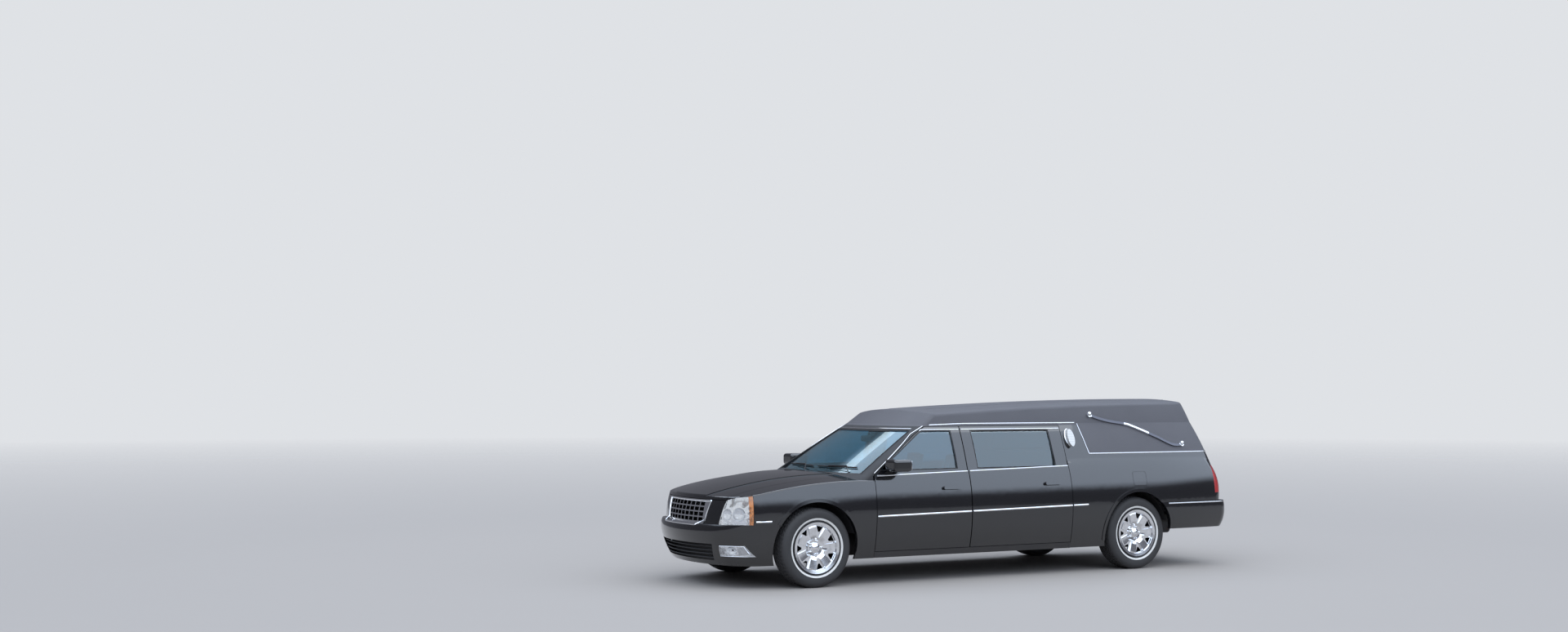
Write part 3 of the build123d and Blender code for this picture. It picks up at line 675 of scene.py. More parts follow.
# Where rays to the skin start from, outside the body
SIDE_START, END_START, TOP_START = 1.5, 3.5, 2.3
TAIL_CORE, CORE_START = Vector((-1.9, 0, 0)), 1.6


def around(angle, z):
    """Level ray to the middle of the rear, at an angle in degrees from +X."""
    out = Vector((cos(radians(angle)), sin(radians(angle)), 0))
    return TAIL_CORE + Vector((0, 0, z)) + out * CORE_START, -out


# How a pair of numbers is read: the start of a ray and the way that it goes in
WAYS = {
    "side": lambda x, z: (Vector((x, SIDE_START, z)), Vector((0, -1, 0))),
    "nose": lambda y, z: (Vector((END_START, y, z)), Vector((-1, 0, 0))),
    "tail": lambda y, z: (Vector((-END_START, y, z)), Vector((1, 0, 0))),
    "top": lambda x, y: (Vector((x, y, TOP_START)), Vector((0, 0, -1))),
    "around": around,
}


def skin_point(node, way, pair):
    """Where a ray from outside meets a CAD node."""
    hit, point, _, _ = NODES[node].ray_cast(*WAYS[way](*pair))
    if not hit:
        raise RuntimeError(f"nothing of {node} on the {way} at {pair[0]:.3f} {pair[1]:.3f}")
    return point


def spaced(line, step):
    """Points along a line of corners, about a step apart."""
    points = [Vector(line[0])]
    for corner in line[1:]:
        start, end = points[-1], Vector(corner)
        count = max(1, round((end - start).length / step))
        points += [start.lerp(end, (i + 1) / count) for i in range(count)]
    return points


Strip = namedtuple("Strip", "name node way width height line lean closed slot finish pair step",
                   defaults=(0, False, "chrome", None, True, 0.12))


def lay_strips(rows):
    """Trim that follows the skin of CAD nodes, on their bodies; lean is in degrees."""
    for row in rows:
        line = [*row.line, row.line[0]] if row.closed else row.line
        points = [skin_point(row.node, row.way, p) for p in spaced(line, row.step)]
        piece = drawn(row.name, points[:-1] if row.closed else points, row.width, row.height,
                      radians(row.lean), row.closed)
        settle(piece, NODES[row.node]["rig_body"], row.slot, row.finish, row.pair)


def set_blocks(body, slot, rows, finish=None, pair=False):
    """Rounded blocks; a row holds a name, the low and the high corner and the edges' radius."""
    for name, low, high, radius in rows:
        settle(rounded_block(name, low, high, radius), body, slot, finish, pair)


def set_rods(body, slot, rows, finish=None, pair=False):
    """Round bars; a row holds a name, the two ends and the radius."""
    for name, start, end, radius in rows:
        settle(rod(name, start, end, radius), body, slot, finish, pair)


# Pieces
class HEARSE_OT_finish(Operator):
    """Give every CAD node the finish of its material slot"""
    bl_idname = "hearse.finish"
    bl_label = "Finish the body"

    def execute(self, context):
        for part in frame["record"]["subparts"]:
            node = part["node"]
            NODES[node].data.materials.clear()
            NODES[node].data.materials.append(
                finish_of(NODE_FINISH.get(node, part["material_slot"])))
        return {"FINISHED"}


# Height at x = 0 and slope of the side moulding and of the belt line
MOULDING, BELT = (0.6431, -0.0161), (1.0203, -0.02353)


def sloping(line, *ends):
    height, slope = line
    return [(x, height + slope * x) for x in ends]


class HEARSE_OT_side_trim(Operator):
    """Add mouldings, belt line, window trim and seals to both sides"""
    bl_idname = "hearse.side_trim"
    bl_label = "Side trim"

    # x and z of the corners of the two side windows
    FRONT_WINDOW = ((1.276, 1.0370), (0.803, 1.3600), (0.7435, 1.3925), (0.4150, 1.3925),
                    (0.4150, 1.0410))
    REAR_WINDOW = ((0.1855, 1.0410), (0.1855, 1.3925), (-0.7355, 1.3925), (-0.7355, 1.0410))

    def execute(self, context):
        z = settings()[1]
        big, thin = (z.moulding_depth, z.moulding_height), (z.trim_depth, z.trim_height)
        seal = {"closed": True, "slot": "trim_black", "finish": "seal"}
        lay_strips([
            Strip("fender_moulding", "left_fender", "side", *big, sloping(MOULDING, 2.545, 2.405)),
            Strip("front_moulding", "left_front_door", "side", *big, sloping(MOULDING, 1.349, 0.316)),
            Strip("rear_moulding", "left_rear_door", "side", *big, sloping(MOULDING, 0.294, -0.874)),
            Strip("quarter_moulding", "left_quarter", "side", *big, sloping(MOULDING, -0.892, -1.07)),
            Strip("front_belt", "left_front_door", "side", *thin, sloping(BELT, 1.326, 0.318), 16),
            Strip("rear_belt", "left_rear_door", "side", *thin, sloping(BELT, 0.292, -0.872), 16),
            Strip("front_head", "left_front_door", "side", *thin,
                  [(0.765, 1.392), (0.745, 1.404), (0.318, 1.404)], 22),
            Strip("rear_head", "left_rear_door", "side", *thin, [(0.292, 1.404), (-0.872, 1.404)], 22),
            Strip("front_seal", "left_front_door", "side", 0.006, z.seal, self.FRONT_WINDOW, **seal),
            Strip("rear_seal", "left_rear_door", "side", 0.006, z.seal, self.REAR_WINDOW, **seal),
            Strip("pillar_trim", "firewall", "side", *thin,
                  [(1.345, 1.010), (0.852, 1.364), (0.712, 1.436)], 22),
        ])
        return {"FINISHED"}


class HEARSE_OT_roof_trim(Operator):
    """Add drip rails, the strips that edge the vinyl, roof welts, bar sleeves and lamp bezels"""
    bl_idname = "hearse.roof_trim"
    bl_label = "Roof trim"

    # x and z of the coach lamp's middle, its half width and half height
    COACH_LAMP = (-0.971, 1.315, 0.0405, 0.0845)
    LAMP_POINTS = 32
    KNOB_RADIUS, KNOB_OFF = 0.0225, Vector((0, 0.020, 0.006))
    # x and z along the middle of the landau bar, and of its two ends
    SLEEVE = ((-1.700, 1.4455), (-1.750, 1.4370), (-1.846, 1.4030), (-1.941, 1.3670),
              (-1.990, 1.3475))
    KNOBS = (("bar_knob_front", -1.279, 1.540), ("bar_knob_rear", -2.397, 1.238))

    def execute(self, context):
        z = settings()[1]
        thin = (z.trim_depth, z.trim_height)
        lamp_x, lamp_z, half_width, half_height = self.COACH_LAMP
        turns = [2 * pi * k / self.LAMP_POINTS for k in range(self.LAMP_POINTS)]
        oval = [(lamp_x + half_width * cos(t), lamp_z + half_height * sin(t)) for t in turns]
        lay_strips([
            Strip("drip_rail", "vinyl_roof", "side", *thin,
                  [(0.640, 1.447), (0.250, 1.458), (-1.085, 1.458)], 22),
            Strip("vinyl_slant", "vinyl_roof", "side", *thin, [(-1.114, 1.448), (-1.176, 1.156)], 22),
            Strip("vinyl_edge", "vinyl_roof", "around", *thin, [(48.9, 1.154), (142.5, 1.154)], 22,
                  step=2.0),
            Strip("roof_welt", "vinyl_roof", "top", 0.009, 0.006, [(0.42, 0.34), (-2.55, 0.34)],
                  slot="vinyl"),
            Strip("bar_sleeve", "vinyl_roof", "side", 0.048, 0.036, self.SLEEVE, 22, step=0.04),
            Strip("coach_bezel", "left_quarter", "side", 0.016, 0.008, oval, closed=True, step=0.02),
        ])
        for name, x, height in self.KNOBS:
            place = skin_point("vinyl_roof", "side", (x, height)) + self.KNOB_OFF
            deselect()
            bpy.ops.mesh.primitive_uv_sphere_add(segments=24, ring_count=12, location=place,
                                                 radius=self.KNOB_RADIUS)
            both_sides(made(name), "body", "chrome")
        return {"FINISHED"}


class HEARSE_OT_front(Operator):
    """Add the grille's frame, intake bars, radiator, lamp bezels, mirror glass and wipers"""
    bl_idname = "hearse.front"
    bl_label = "Front end"

    # y and z of corners, seen from the front
    GRILLE_EDGE = ((0.318, 0.566), (0.374, 0.603), (0.417, 0.775))
    FOG_LAMP = ((0.572, 0.294), (0.778, 0.294), (0.760, 0.386), (0.591, 0.386))
    SCREEN = ((-0.778, 1.006), (-0.657, 1.3945), (0.657, 1.3945), (0.778, 1.006))
    # Height of the wipers, and y of each one's two ends
    WIPER_Z = 1.052
    WIPERS = ((0.64, 0.08), (-0.02, -0.60))
    # How far the blades and the arms' root, middle and tip stand off the windshield
    BLADE_OFF = Vector((0.010, 0, 0.006))
    ARM_OFF = (Vector((0.085, -0.03, -0.052)), Vector((0.040, 0, 0.020)), Vector((0.020, 0, 0.014)))
    # Lower intake: height and half width of its top, drop to the first bar and between bars,
    # then how much narrower and further back a bar is for each metre that it is lower
    INTAKE_TOP, INTAKE_HALF = 0.415, 0.520
    INTAKE_DROP, INTAKE_PITCH = 0.040, 0.034
    INTAKE_NARROWS, INTAKE_LEANS, INTAKE_BACK = 0.33, 0.30, 0.026

    def wiper(self, k, first, last):
        points = [skin_point("windshield", "nose", (y, self.WIPER_Z)) for y in
                  (first, (first * 2 + last) / 3, (first + last * 2) / 3, last)]
        blade = drawn(f"wiper_blade_{k}", [p + self.BLADE_OFF for p in points], 0.010, 0.014)
        fit(blade, "body", "trim_black", "seal")
        along = (points[0], points[0].lerp(points[1], 0.5), points[2])
        arm = [point + off for point, off in zip(along, self.ARM_OFF)]
        fit(drawn(f"wiper_arm_{k}", arm, 0.008, 0.012), "body", "trim_black")

    def intake_bar(self, k):
        """Bar behind the bumper's intake, which is narrower and further back lower down."""
        drop = self.INTAKE_DROP + self.INTAKE_PITCH * k
        half = self.INTAKE_HALF - self.INTAKE_NARROWS * drop
        back = Vector((-self.INTAKE_BACK - self.INTAKE_LEANS * drop, 0, -drop))
        points = [skin_point("front_bumper", "nose", (half * t / 6, self.INTAKE_TOP)) + back
                  for t in range(-6, 7)]
        fit(drawn(f"intake_bar_{k}", points, 0.016, 0.011), "body", "trim_black")

    def execute(self, context):
        z = settings()[1]
        lay_strips([
            Strip("grille_top", "grille", "nose", 0.016, 0.020, [(-0.418, 0.777), (0.418, 0.777)],
                  pair=False, step=0.05),
            Strip("grille_foot", "grille", "nose", 0.014, 0.012, [(-0.316, 0.565), (0.316, 0.565)],
                  pair=False, step=0.05),
            Strip("grille_edge", "grille", "nose", 0.016, 0.014, self.GRILLE_EDGE, step=0.05),
            Strip("fog_bezel", "headlamp_lenses", "nose", 0.007, 0.007, self.FOG_LAMP, closed=True,
                  step=0.04),
            Strip("screen_seal", "firewall", "nose", 0.006, 0.014, self.SCREEN, slot="trim_black",
                  finish="seal", pair=False, step=0.06),
            Strip("screen_trim", "firewall", "nose", z.trim_depth, z.trim_height,
                  [(-0.650, 1.411), (0.650, 1.411)], pair=False, step=0.06),
        ])
        for k, ends in enumerate(self.WIPERS):
            self.wiper(k, *ends)
        for k in range(4):
            self.intake_bar(k)
        set_blocks("body", "trim_black", [
            ("intake_back", (2.690, -0.520, 0.216), (2.704, 0.520, 0.430), 0.004),
        ], "radiator")
        set_blocks("body", "chassis_steel", [
            ("radiator", (2.604, -0.36, 0.32), (2.640, 0.36, 0.69), 0.004),
        ], "radiator")
        set_blocks("left front door", "chrome", [
            ("mirror_glass", (1.0495, 0.905, 1.044), (1.0560, 1.064, 1.126), 0.003),
        ], "mirror", pair=True)
        return {"FINISHED"}


class HEARSE_OT_rear(Operator):
    """Add the blank plate, handle, lamp trim, step pad and tail pipe ring"""
    bl_idname = "hearse.rear"
    bl_label = "Rear end"

    # Heights where the plate's slope is read, then name, half width, half height,
    # how far it stands out, and finish
    PLATE_HEIGHTS = (0.780, 0.918)
    PLATES = (("plate_frame", 0.160, 0.080, 0.003, None), ("rear_plate", 0.152, 0.0745, 0.0065, "plate"))
    PLATE_HALF_DEPTH = 0.003
    # y along the handle, how far it stands off, and the shift of its feet from its ends
    HANDLE = (-0.60, -0.55, -0.49, -0.44)
    HANDLE_OFF, HANDLE_Z, FOOT_SHIFT = Vector((-0.026, 0, -0.004)), 1.0, 0.012
    PIPE_END, PIPE_RADIUS, RING_RADIUS = (-2.922, -0.25, 0.300), 0.0315, 0.0045

    def plates(self):
        low, high = (skin_point("load_door", "tail", (0, h)) for h in self.PLATE_HEIGHTS)
        lean = atan2(high.x - low.x, high.z - low.z)
        for name, half, deep, out, finish in self.PLATES:
            middle = (low + high) / 2 - Vector((out, 0, 0))
            size = Vector((self.PLATE_HALF_DEPTH, half, deep))
            plate = rounded_block(name, middle - size, middle + size, 0.001)
            fit(turned(plate, middle, lean), "load door", "trim_black", finish)

    def handle(self):
        grip = [skin_point("load_door", "tail", (y, self.HANDLE_Z)) for y in self.HANDLE]
        fit(drawn("rear_handle", [p + self.HANDLE_OFF for p in grip], 0.012, 0.020),
            "load door", "chrome")
        for k, (foot, side) in enumerate(((grip[0], 1), (grip[-1], -1))):
            foot = foot + Vector((0, side * self.FOOT_SHIFT, 0))
            fit(rod(f"rear_handle_foot_{k}", foot + Vector((0.004, 0, 0)), foot + self.HANDLE_OFF,
                    0.006), "load door", "chrome")

    def execute(self, context):
        self.plates()
        self.handle()
        lay_strips([
            Strip("door_strip", "load_door", "tail", 0.014, 0.022, [(-0.30, 0.952), (0.30, 0.952)],
                  pair=False, step=0.1),
            Strip("rear_glass_seal", "load_door", "tail", 0.006, 0.012,
                  [(-0.566, 1.145), (-0.495, 1.505), (0.495, 1.505), (0.566, 1.145)],
                  closed=True, slot="trim_black", finish="seal", pair=False, step=0.06),
            # Chrome strip along the bumper's top ledge, which stands in for the painted highlight that
            # runs along that ledge.
            Strip("bumper_edge", "rear_bumper", "around", 0.008, 0.013,
                  [(100.5, 0.643), (259.5, 0.643)], 30, pair=False, step=2.0),
        ])
        face = skin_point("load_door", "tail", (0, 0.85)).x
        set_blocks("load door", "lamp_glass", [
            ("plate_lamp", (face - 0.005, -0.09, 0.930), (face + 0.015, 0.09, 0.942), 0.003),
        ])
        set_blocks("body", "trim_black", [
            ("step_pad", (-2.936, -0.50, 0.6535), (-2.898, 0.50, 0.6590), 0.002),
        ])
        deselect()
        bpy.ops.mesh.primitive_torus_add(location=self.PIPE_END, rotation=(0, pi / 2, 0),
                                         major_radius=self.PIPE_RADIUS, major_segments=40,
                                         minor_radius=self.RING_RADIUS, minor_segments=10)
        fit(made("tail_pipe_ring"), "body", "chrome")
        return {"FINISHED"}


class HEARSE_OT_wheels(Operator):
    """Replace the plain tyres and add whitewalls, wheel nuts and caps"""
    bl_idname = "hearse.wheels"
    bl_label = "Wheels"

    # Radius and half width up the side wall, from the rim to the tread
    SIDE_WALL = ((0.2175, 0.090), (0.2350, 0.0962), (0.2480, 0.1025), (0.2700, 0.1105),
                 (0.2920, 0.1122), (0.3150, 0.1124), (0.3300, 0.1075), (0.3420, 0.0985),
                 (0.3500, 0.0900), (0.3545, 0.0800))
    # y of the grooves, and the radius and offset of the points across one
    GROOVES = (-0.056, -0.019, 0.019, 0.056)
    GROOVE = ((0.3568, -0.0045), (0.3500, -0.0035), (0.3500, 0.0035), (0.3568, 0.0045))
    BLOCKS = 120
    BLOCK_RADIUS, BLOCK_EDGE, BLOCK_SINK = 0.3515, 0.0022, 0.986
    # Radius and offset outwards of the cap's profile, and the offset and sizes of the nuts
    CAP = ((0.034, 0.072), (0.034, 0.079), (0.029, 0.083), (0.018, 0.0865), (0.008, 0.088), (0, 0.088))
    NUT_OUT, NUT_RADIUS, NUT_DEPTH, NUT_EDGE = 0.070, 0.0098, 0.022, 0.0024

    def tyre(self, name, centre):
        """Tyre whose tread has every second block sunk, by turns on its two halves."""
        tread = [(r, y + offset) for y in self.GROOVES for r, offset in self.GROOVE]
        profile = [(r, -y) for r, y in self.SIDE_WALL] + tread + list(reversed(self.SIDE_WALL))
        piece = lathe(name, profile, centre, self.BLOCKS)

        def sunk(p):
            r = ((p.x - centre.x) ** 2 + (p.z - centre.z) ** 2) ** 0.5
            turn = round(atan2(p.z - centre.z, p.x - centre.x) / (2 * pi) * self.BLOCKS - 0.5)
            return r > self.BLOCK_RADIUS and (turn + (0 if p.y > centre.y else 1)) % 2 == 0
        select(piece, sunk, "FACE")
        bpy.ops.mesh.inset(thickness=self.BLOCK_EDGE, use_individual=True)
        bpy.ops.transform.resize(value=(self.BLOCK_SINK, 1, self.BLOCK_SINK), center_override=centre)
        bpy.ops.object.mode_set(mode="OBJECT")
        return piece

    def nuts(self, name, centre, out, z):
        nuts = []
        for k in range(z.lug_count):
            turn = 2 * pi * (k + 0.5) / z.lug_count
            place = Vector((z.lug_radius * cos(turn), out * self.NUT_OUT, z.lug_radius * sin(turn)))
            deselect()
            bpy.ops.mesh.primitive_cylinder_add(vertices=6, radius=self.NUT_RADIUS,
                                                depth=self.NUT_DEPTH, location=centre + place,
                                                rotation=(pi / 2, 0, 0))
            nuts.append(apply_modifier(made(f"nut_{k}"), "BEVEL", width=self.NUT_EDGE, segments=2))
        return join(name, nuts)

    def execute(self, context):
        z = settings()[1]
        ring = ((z.whitewall_in, 0.1000), (z.whitewall_in + 0.0015, 0.1046),
                (z.whitewall_out - 0.001, 0.1119), (z.whitewall_out + 0.001, 0.1075))
        for wheel in WHEELS:
            body = wheel.replace("_", " ") + " wheel"
            low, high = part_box(wheel + "_rim")
            centre = (low + high) / 2
            out = 1 if centre.y > 0 else -1
            tyre = fit(self.tyre(wheel + "_road_tyre", centre), body, "tyre_rubber")
            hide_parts(wheel + "_tyre")
            fit(lathe(wheel + "_whitewall", [(r, out * y) for r, y in ring], centre, 96), body,
                "tyre_rubber", "whitewall")
            fit(self.nuts(wheel + "_nuts", centre, out, z), body, "wheel_chrome")
            fit(lathe(wheel + "_cap", [(r, out * y) for r, y in self.CAP], centre, 48), body,
                "wheel_chrome")
        return {"FINISHED"}


class HEARSE_OT_seats(Operator):
    """Pad the front seats with simulated cushions"""
    bl_idname = "hearse.seats"
    bl_label = "Seats"

    # name, low corner, high corner, edge radius, axis the pad faces, seams across, lean
    PADS = (
        ("seat_cushion", (0.315, 0.105, 0.392), (0.840, 0.595, 0.490), 0.035, 2, (-0.13, 0, 0.13), 0),
        ("seat_back", (0.240, 0.105, 0.440), (0.340, 0.595, 1.035), 0.035, 0, (-0.13, 0, 0.13), -14),
        ("head_rest", (0.166, 0.232, 1.042), (0.242, 0.468, 1.180), 0.026, 0, (), -14),
    )
    PIVOT = (0.290, 0, 0.730)
    # Half width and depth of a seam, and how near the face its points lie, then the cloth's run
    SEAM_HALF, SEAM_SINK, SEAM_REACH = 0.010, 0.016, 0.02
    PRESSURE, FRAMES = 4, 20

    def sew(self, piece, y, facing, top):
        """Cuts a pad along a seam and sinks the seam into the face that the pad turns to."""
        for offset in (-self.SEAM_HALF, 0, self.SEAM_HALF):
            edit_all()
            bpy.ops.mesh.bisect(plane_co=(0, y + offset, 0), plane_no=(0, 1, 0))
            bpy.ops.object.mode_set(mode="OBJECT")
        select(piece, lambda p: abs(p.y - y) < 1e-4 and p[facing] > top - self.SEAM_REACH, "VERT")
        sink = [0, 0, 0]
        sink[facing] = -self.SEAM_SINK
        bpy.ops.transform.translate(value=sink)
        bpy.ops.object.mode_set(mode="OBJECT")

    def swell(self, piece, z):
        """Blows a pad up as cloth, and holds each point within the set swell."""
        take(piece)
        rest = [v.co.copy() for v in piece.data.vertices]
        cloth = piece.modifiers.new("Cloth", "CLOTH")
        cloth.settings.use_pressure = True
        cloth.settings.uniform_pressure_force = self.PRESSURE
        cloth.settings.effector_weights.gravity = 0
        for step in range(1, self.FRAMES + 1):
            bpy.context.scene.frame_set(step)
        bpy.ops.object.modifier_apply(modifier=cloth.name)
        bpy.context.scene.frame_set(1)
        for vertex, start in zip(piece.data.vertices, rest):
            move = vertex.co - start
            vertex.co = start + move * min(1, z.swell / max(move.length, 1e-9))

    def execute(self, context):
        z = settings()[1]
        for name, low, high, radius, facing, seams, lean in self.PADS:
            piece = rounded_block(name, low, high, radius, 4)
            middle = (Vector(low) + Vector(high)) / 2
            for seam in seams:
                self.sew(piece, middle.y + seam, facing, high[facing])
            apply_modifier(piece, "REMESH", mode="VOXEL", voxel_size=z.voxel)
            self.swell(piece, z)
            turned(piece, self.PIVOT, radians(lean))
            for pad in both_sides(piece, "body", "seat_leather", smooth=60):
                if name == "seat_cushion":
                    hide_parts("front_seats")
        set_blocks("body", "trim_black", [
            ("seat_frame", (0.330, 0.170, 0.283), (0.800, 0.530, 0.392), 0.012),
            ("seat_valance", (0.300, 0.578, 0.330), (0.740, 0.612, 0.420), 0.012),
        ], pair=True)
        set_rods("body", "chrome", [
            ("head_stalk_in", (0.213, 0.305, 1.010), (0.196, 0.305, 1.075), 0.006),
            ("head_stalk_out", (0.213, 0.395, 1.010), (0.196, 0.395, 1.075), 0.006),
        ], pair=True)
        return {"FINISHED"}


class HEARSE_OT_cabin(Operator):
    """Add dash fittings, console, pedals, mats and door trims"""
    bl_idname = "hearse.cabin"
    bl_label = "Cabin"

    VENTS = (0.650, 0.180, -0.180, -0.650)
    DIALS = (0.325, 0.435)
    KNOBS = (-0.07, 0, 0.07)

    def dashboard(self):
        set_blocks("body", "trim_black", [
            ("cluster_hood", (1.088, 0.235, 0.905), (1.190, 0.525, 0.976), 0.018),
            ("glove_lid", (1.118, -0.620, 0.625), (1.150, -0.180, 0.770), 0.010),
            *[(f"dash_vent_{k}", (1.082, y - 0.05, 0.868), (1.112, y + 0.05, 0.918), 0.006)
              for k, y in enumerate(self.VENTS)],
        ])
        set_blocks("body", "trim_black", [
            ("cluster_face", (1.076, 0.255, 0.845), (1.094, 0.505, 0.935), 0.004),
            ("centre_screen", (1.070, -0.120, 0.800), (1.092, 0.120, 0.905), 0.004),
        ], "display")
        set_rods("body", "trim_black", [
            (f"dial_{k}", (1.0745, y, 0.892), (1.0800, y, 0.892), 0.036)
            for k, y in enumerate(self.DIALS)
        ], "dial")
        set_rods("body", "trim_black", [
            (f"dash_knob_{k}", (1.076, y, 0.775), (1.110, y, 0.775), 0.014)
            for k, y in enumerate(self.KNOBS)
        ])

    def fittings(self):
        """Console, floor coverings, levers, pedals and the inner mirror."""
        set_blocks("body", "trim_black", [
            ("console", (0.330, -0.074, 0.281), (1.130, 0.074, 0.450), 0.018),
            ("inner_mirror", (0.860, -0.125, 1.275), (0.884, 0.125, 1.335), 0.008),
        ])
        set_blocks("body", "trim_black", [
            ("brake_pedal", (1.200, 0.330, 0.400), (1.214, 0.430, 0.460), 0.004),
            ("throttle_pedal", (1.215, 0.235, 0.330), (1.228, 0.290, 0.450), 0.004),
        ], "seal")
        set_blocks("body", "chrome", [
            ("inner_mirror_glass", (0.8575, -0.118, 1.281), (0.8610, 0.118, 1.329), 0.001),
        ], "mirror")
        set_blocks("body", "seat_leather", [
            ("arm_rest", (0.350, -0.070, 0.445), (0.640, 0.070, 0.520), 0.022),
        ])
        set_blocks("body", "deck_trim", [
            ("cabin_carpet", (0.010, -0.800, 0.2745), (1.355, 0.800, 0.2830), 0.002),
        ])
        set_blocks("body", "trim_black", [
            ("floor_mat", (0.880, 0.110, 0.2825), (1.300, 0.600, 0.2890), 0.002),
        ], pair=True)
        set_rods("body", "trim_black", [
            ("gear_knob", (0.866, 0, 0.520), (0.857, 0, 0.580), 0.021),
            ("mirror_stalk", (0.880, 0, 1.320), (0.862, 0, 1.372), 0.008),
            ("signal_stalk", (1.000, 0.420, 0.870), (0.975, 0.520, 0.905), 0.007),
        ])
        set_rods("body", "chrome", [
            ("gear_lever", (0.880, 0, 0.440), (0.860, 0, 0.540), 0.008),
        ])

    def door_trims(self):
        set_blocks("left front door", "trim_black", [
            ("front_arm", (0.430, 0.800, 0.690), (0.980, 0.872, 0.755), 0.016),
            ("front_pocket", (0.430, 0.838, 0.380), (1.080, 0.872, 0.520), 0.012),
        ], pair=True)
        set_blocks("left rear door", "trim_black", [
            ("rear_arm", (-0.640, 0.800, 0.700), (-0.060, 0.872, 0.765), 0.016),
        ], pair=True)
        set_blocks("left front door", "seat_leather", [
            ("front_card", (0.400, 0.858, 0.560), (1.160, 0.873, 0.900), 0.006),
        ], pair=True)
        set_blocks("left rear door", "seat_leather", [
            ("rear_card", (-0.800, 0.858, 0.560), (0.200, 0.873, 0.900), 0.006),
        ], pair=True)
        set_rods("left front door", "chrome", [
            ("front_latch", (0.480, 0.868, 0.800), (0.600, 0.868, 0.800), 0.009),
        ], pair=True)
        set_rods("left rear door", "chrome", [
            ("rear_latch", (-0.720, 0.868, 0.810), (-0.600, 0.868, 0.810), 0.009),
        ], pair=True)

    def execute(self, context):
        self.dashboard()
        self.fittings()
        self.door_trims()
        return {"FINISHED"}


class HEARSE_OT_deck(Operator):
    """Add the deck's rails, rollers, casket stops and side linings"""
    bl_idname = "hearse.deck"
    bl_label = "Casket deck"

    # y and z up the inside of the quarter, and the wheelhouse that the lining is cut round
    LINING = ((0.846, 0.630), (0.846, 0.862), (0.836, 0.890), (0.796, 0.990), (0.765, 1.085),
              (0.746, 1.140))
    LINING_ENDS = (-2.660, -0.905)
    WHEEL_CUT = 0.428
    # x and y of the stops, y of the rails and x of the rollers
    STOPS = ((-2.480, 0.275), (-2.480, -0.275), (-0.180, 0.275), (-0.180, -0.275))
    RAILS = (-0.400, -0.150, 0.150, 0.400)
    ROLLERS = (-2.660, -2.050, -1.440, -0.830, -0.220)

    def lining(self):
        rear, front = self.LINING_ENDS
        wall = swept("load_lining", [Vector((rear, y, z)) for y, z in self.LINING],
                     Vector((front - rear, 0, 0)), 0.006)
        shelf = rounded_block("deck_shelf", (rear - 0.020, 0.562, 0.612), (front, 0.846, 0.636), 0.004)
        low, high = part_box("rear_left_rim")
        x, z = (low.x + high.x) / 2, (low.z + high.z) / 2
        for piece, finish in ((wall, "lining"), (shelf, "deck_trim")):
            cutter = rod("wheel_cut", (x, 0.600, z), (x, 1.0, z), self.WHEEL_CUT, 96)
            apply_modifier(piece, "BOOLEAN", operation="DIFFERENCE", object=cutter)
            bpy.data.objects.remove(cutter)
            both_sides(piece, "body", "deck_trim", finish)

    def execute(self, context):
        self.lining()
        set_blocks("body", "deck_trim", [
            ("deck_side", (-0.895, 0.562, 0.612), (0.060, 0.850, 0.636), 0.004),
        ], pair=True)
        set_blocks("body", "deck_trim", [
            ("deck_front", (0.062, -0.780, 0.283), (0.074, 0.780, 0.640), 0.003),
        ])
        set_blocks("body", "chrome", [
            *[(f"deck_rail_{k}", (-2.690, y - 0.014, 0.6395), (-0.060, y + 0.014, 0.6460), 0.002)
              for k, y in enumerate(self.RAILS)],
            ("deck_sill", (-2.758, -0.558, 0.6390), (-2.722, 0.558, 0.6455), 0.002),
            *[(f"stop_plate_{k}", (x - 0.045, y - 0.035, 0.6395), (x + 0.045, y + 0.035, 0.6440), 0.001)
              for k, (x, y) in enumerate(self.STOPS)],
        ])
        set_rods("body", "seat_leather", [
            (f"deck_roller_{k}", (x, -0.115, 0.636), (x, 0.115, 0.636), 0.016)
            for k, x in enumerate(self.ROLLERS)
        ], "seal")
        set_rods("body", "chrome", [
            (f"stop_pin_{k}", (x, y, 0.640), (x, y, 0.692), 0.012)
            for k, (x, y) in enumerate(self.STOPS)
        ])
        return {"FINISHED"}


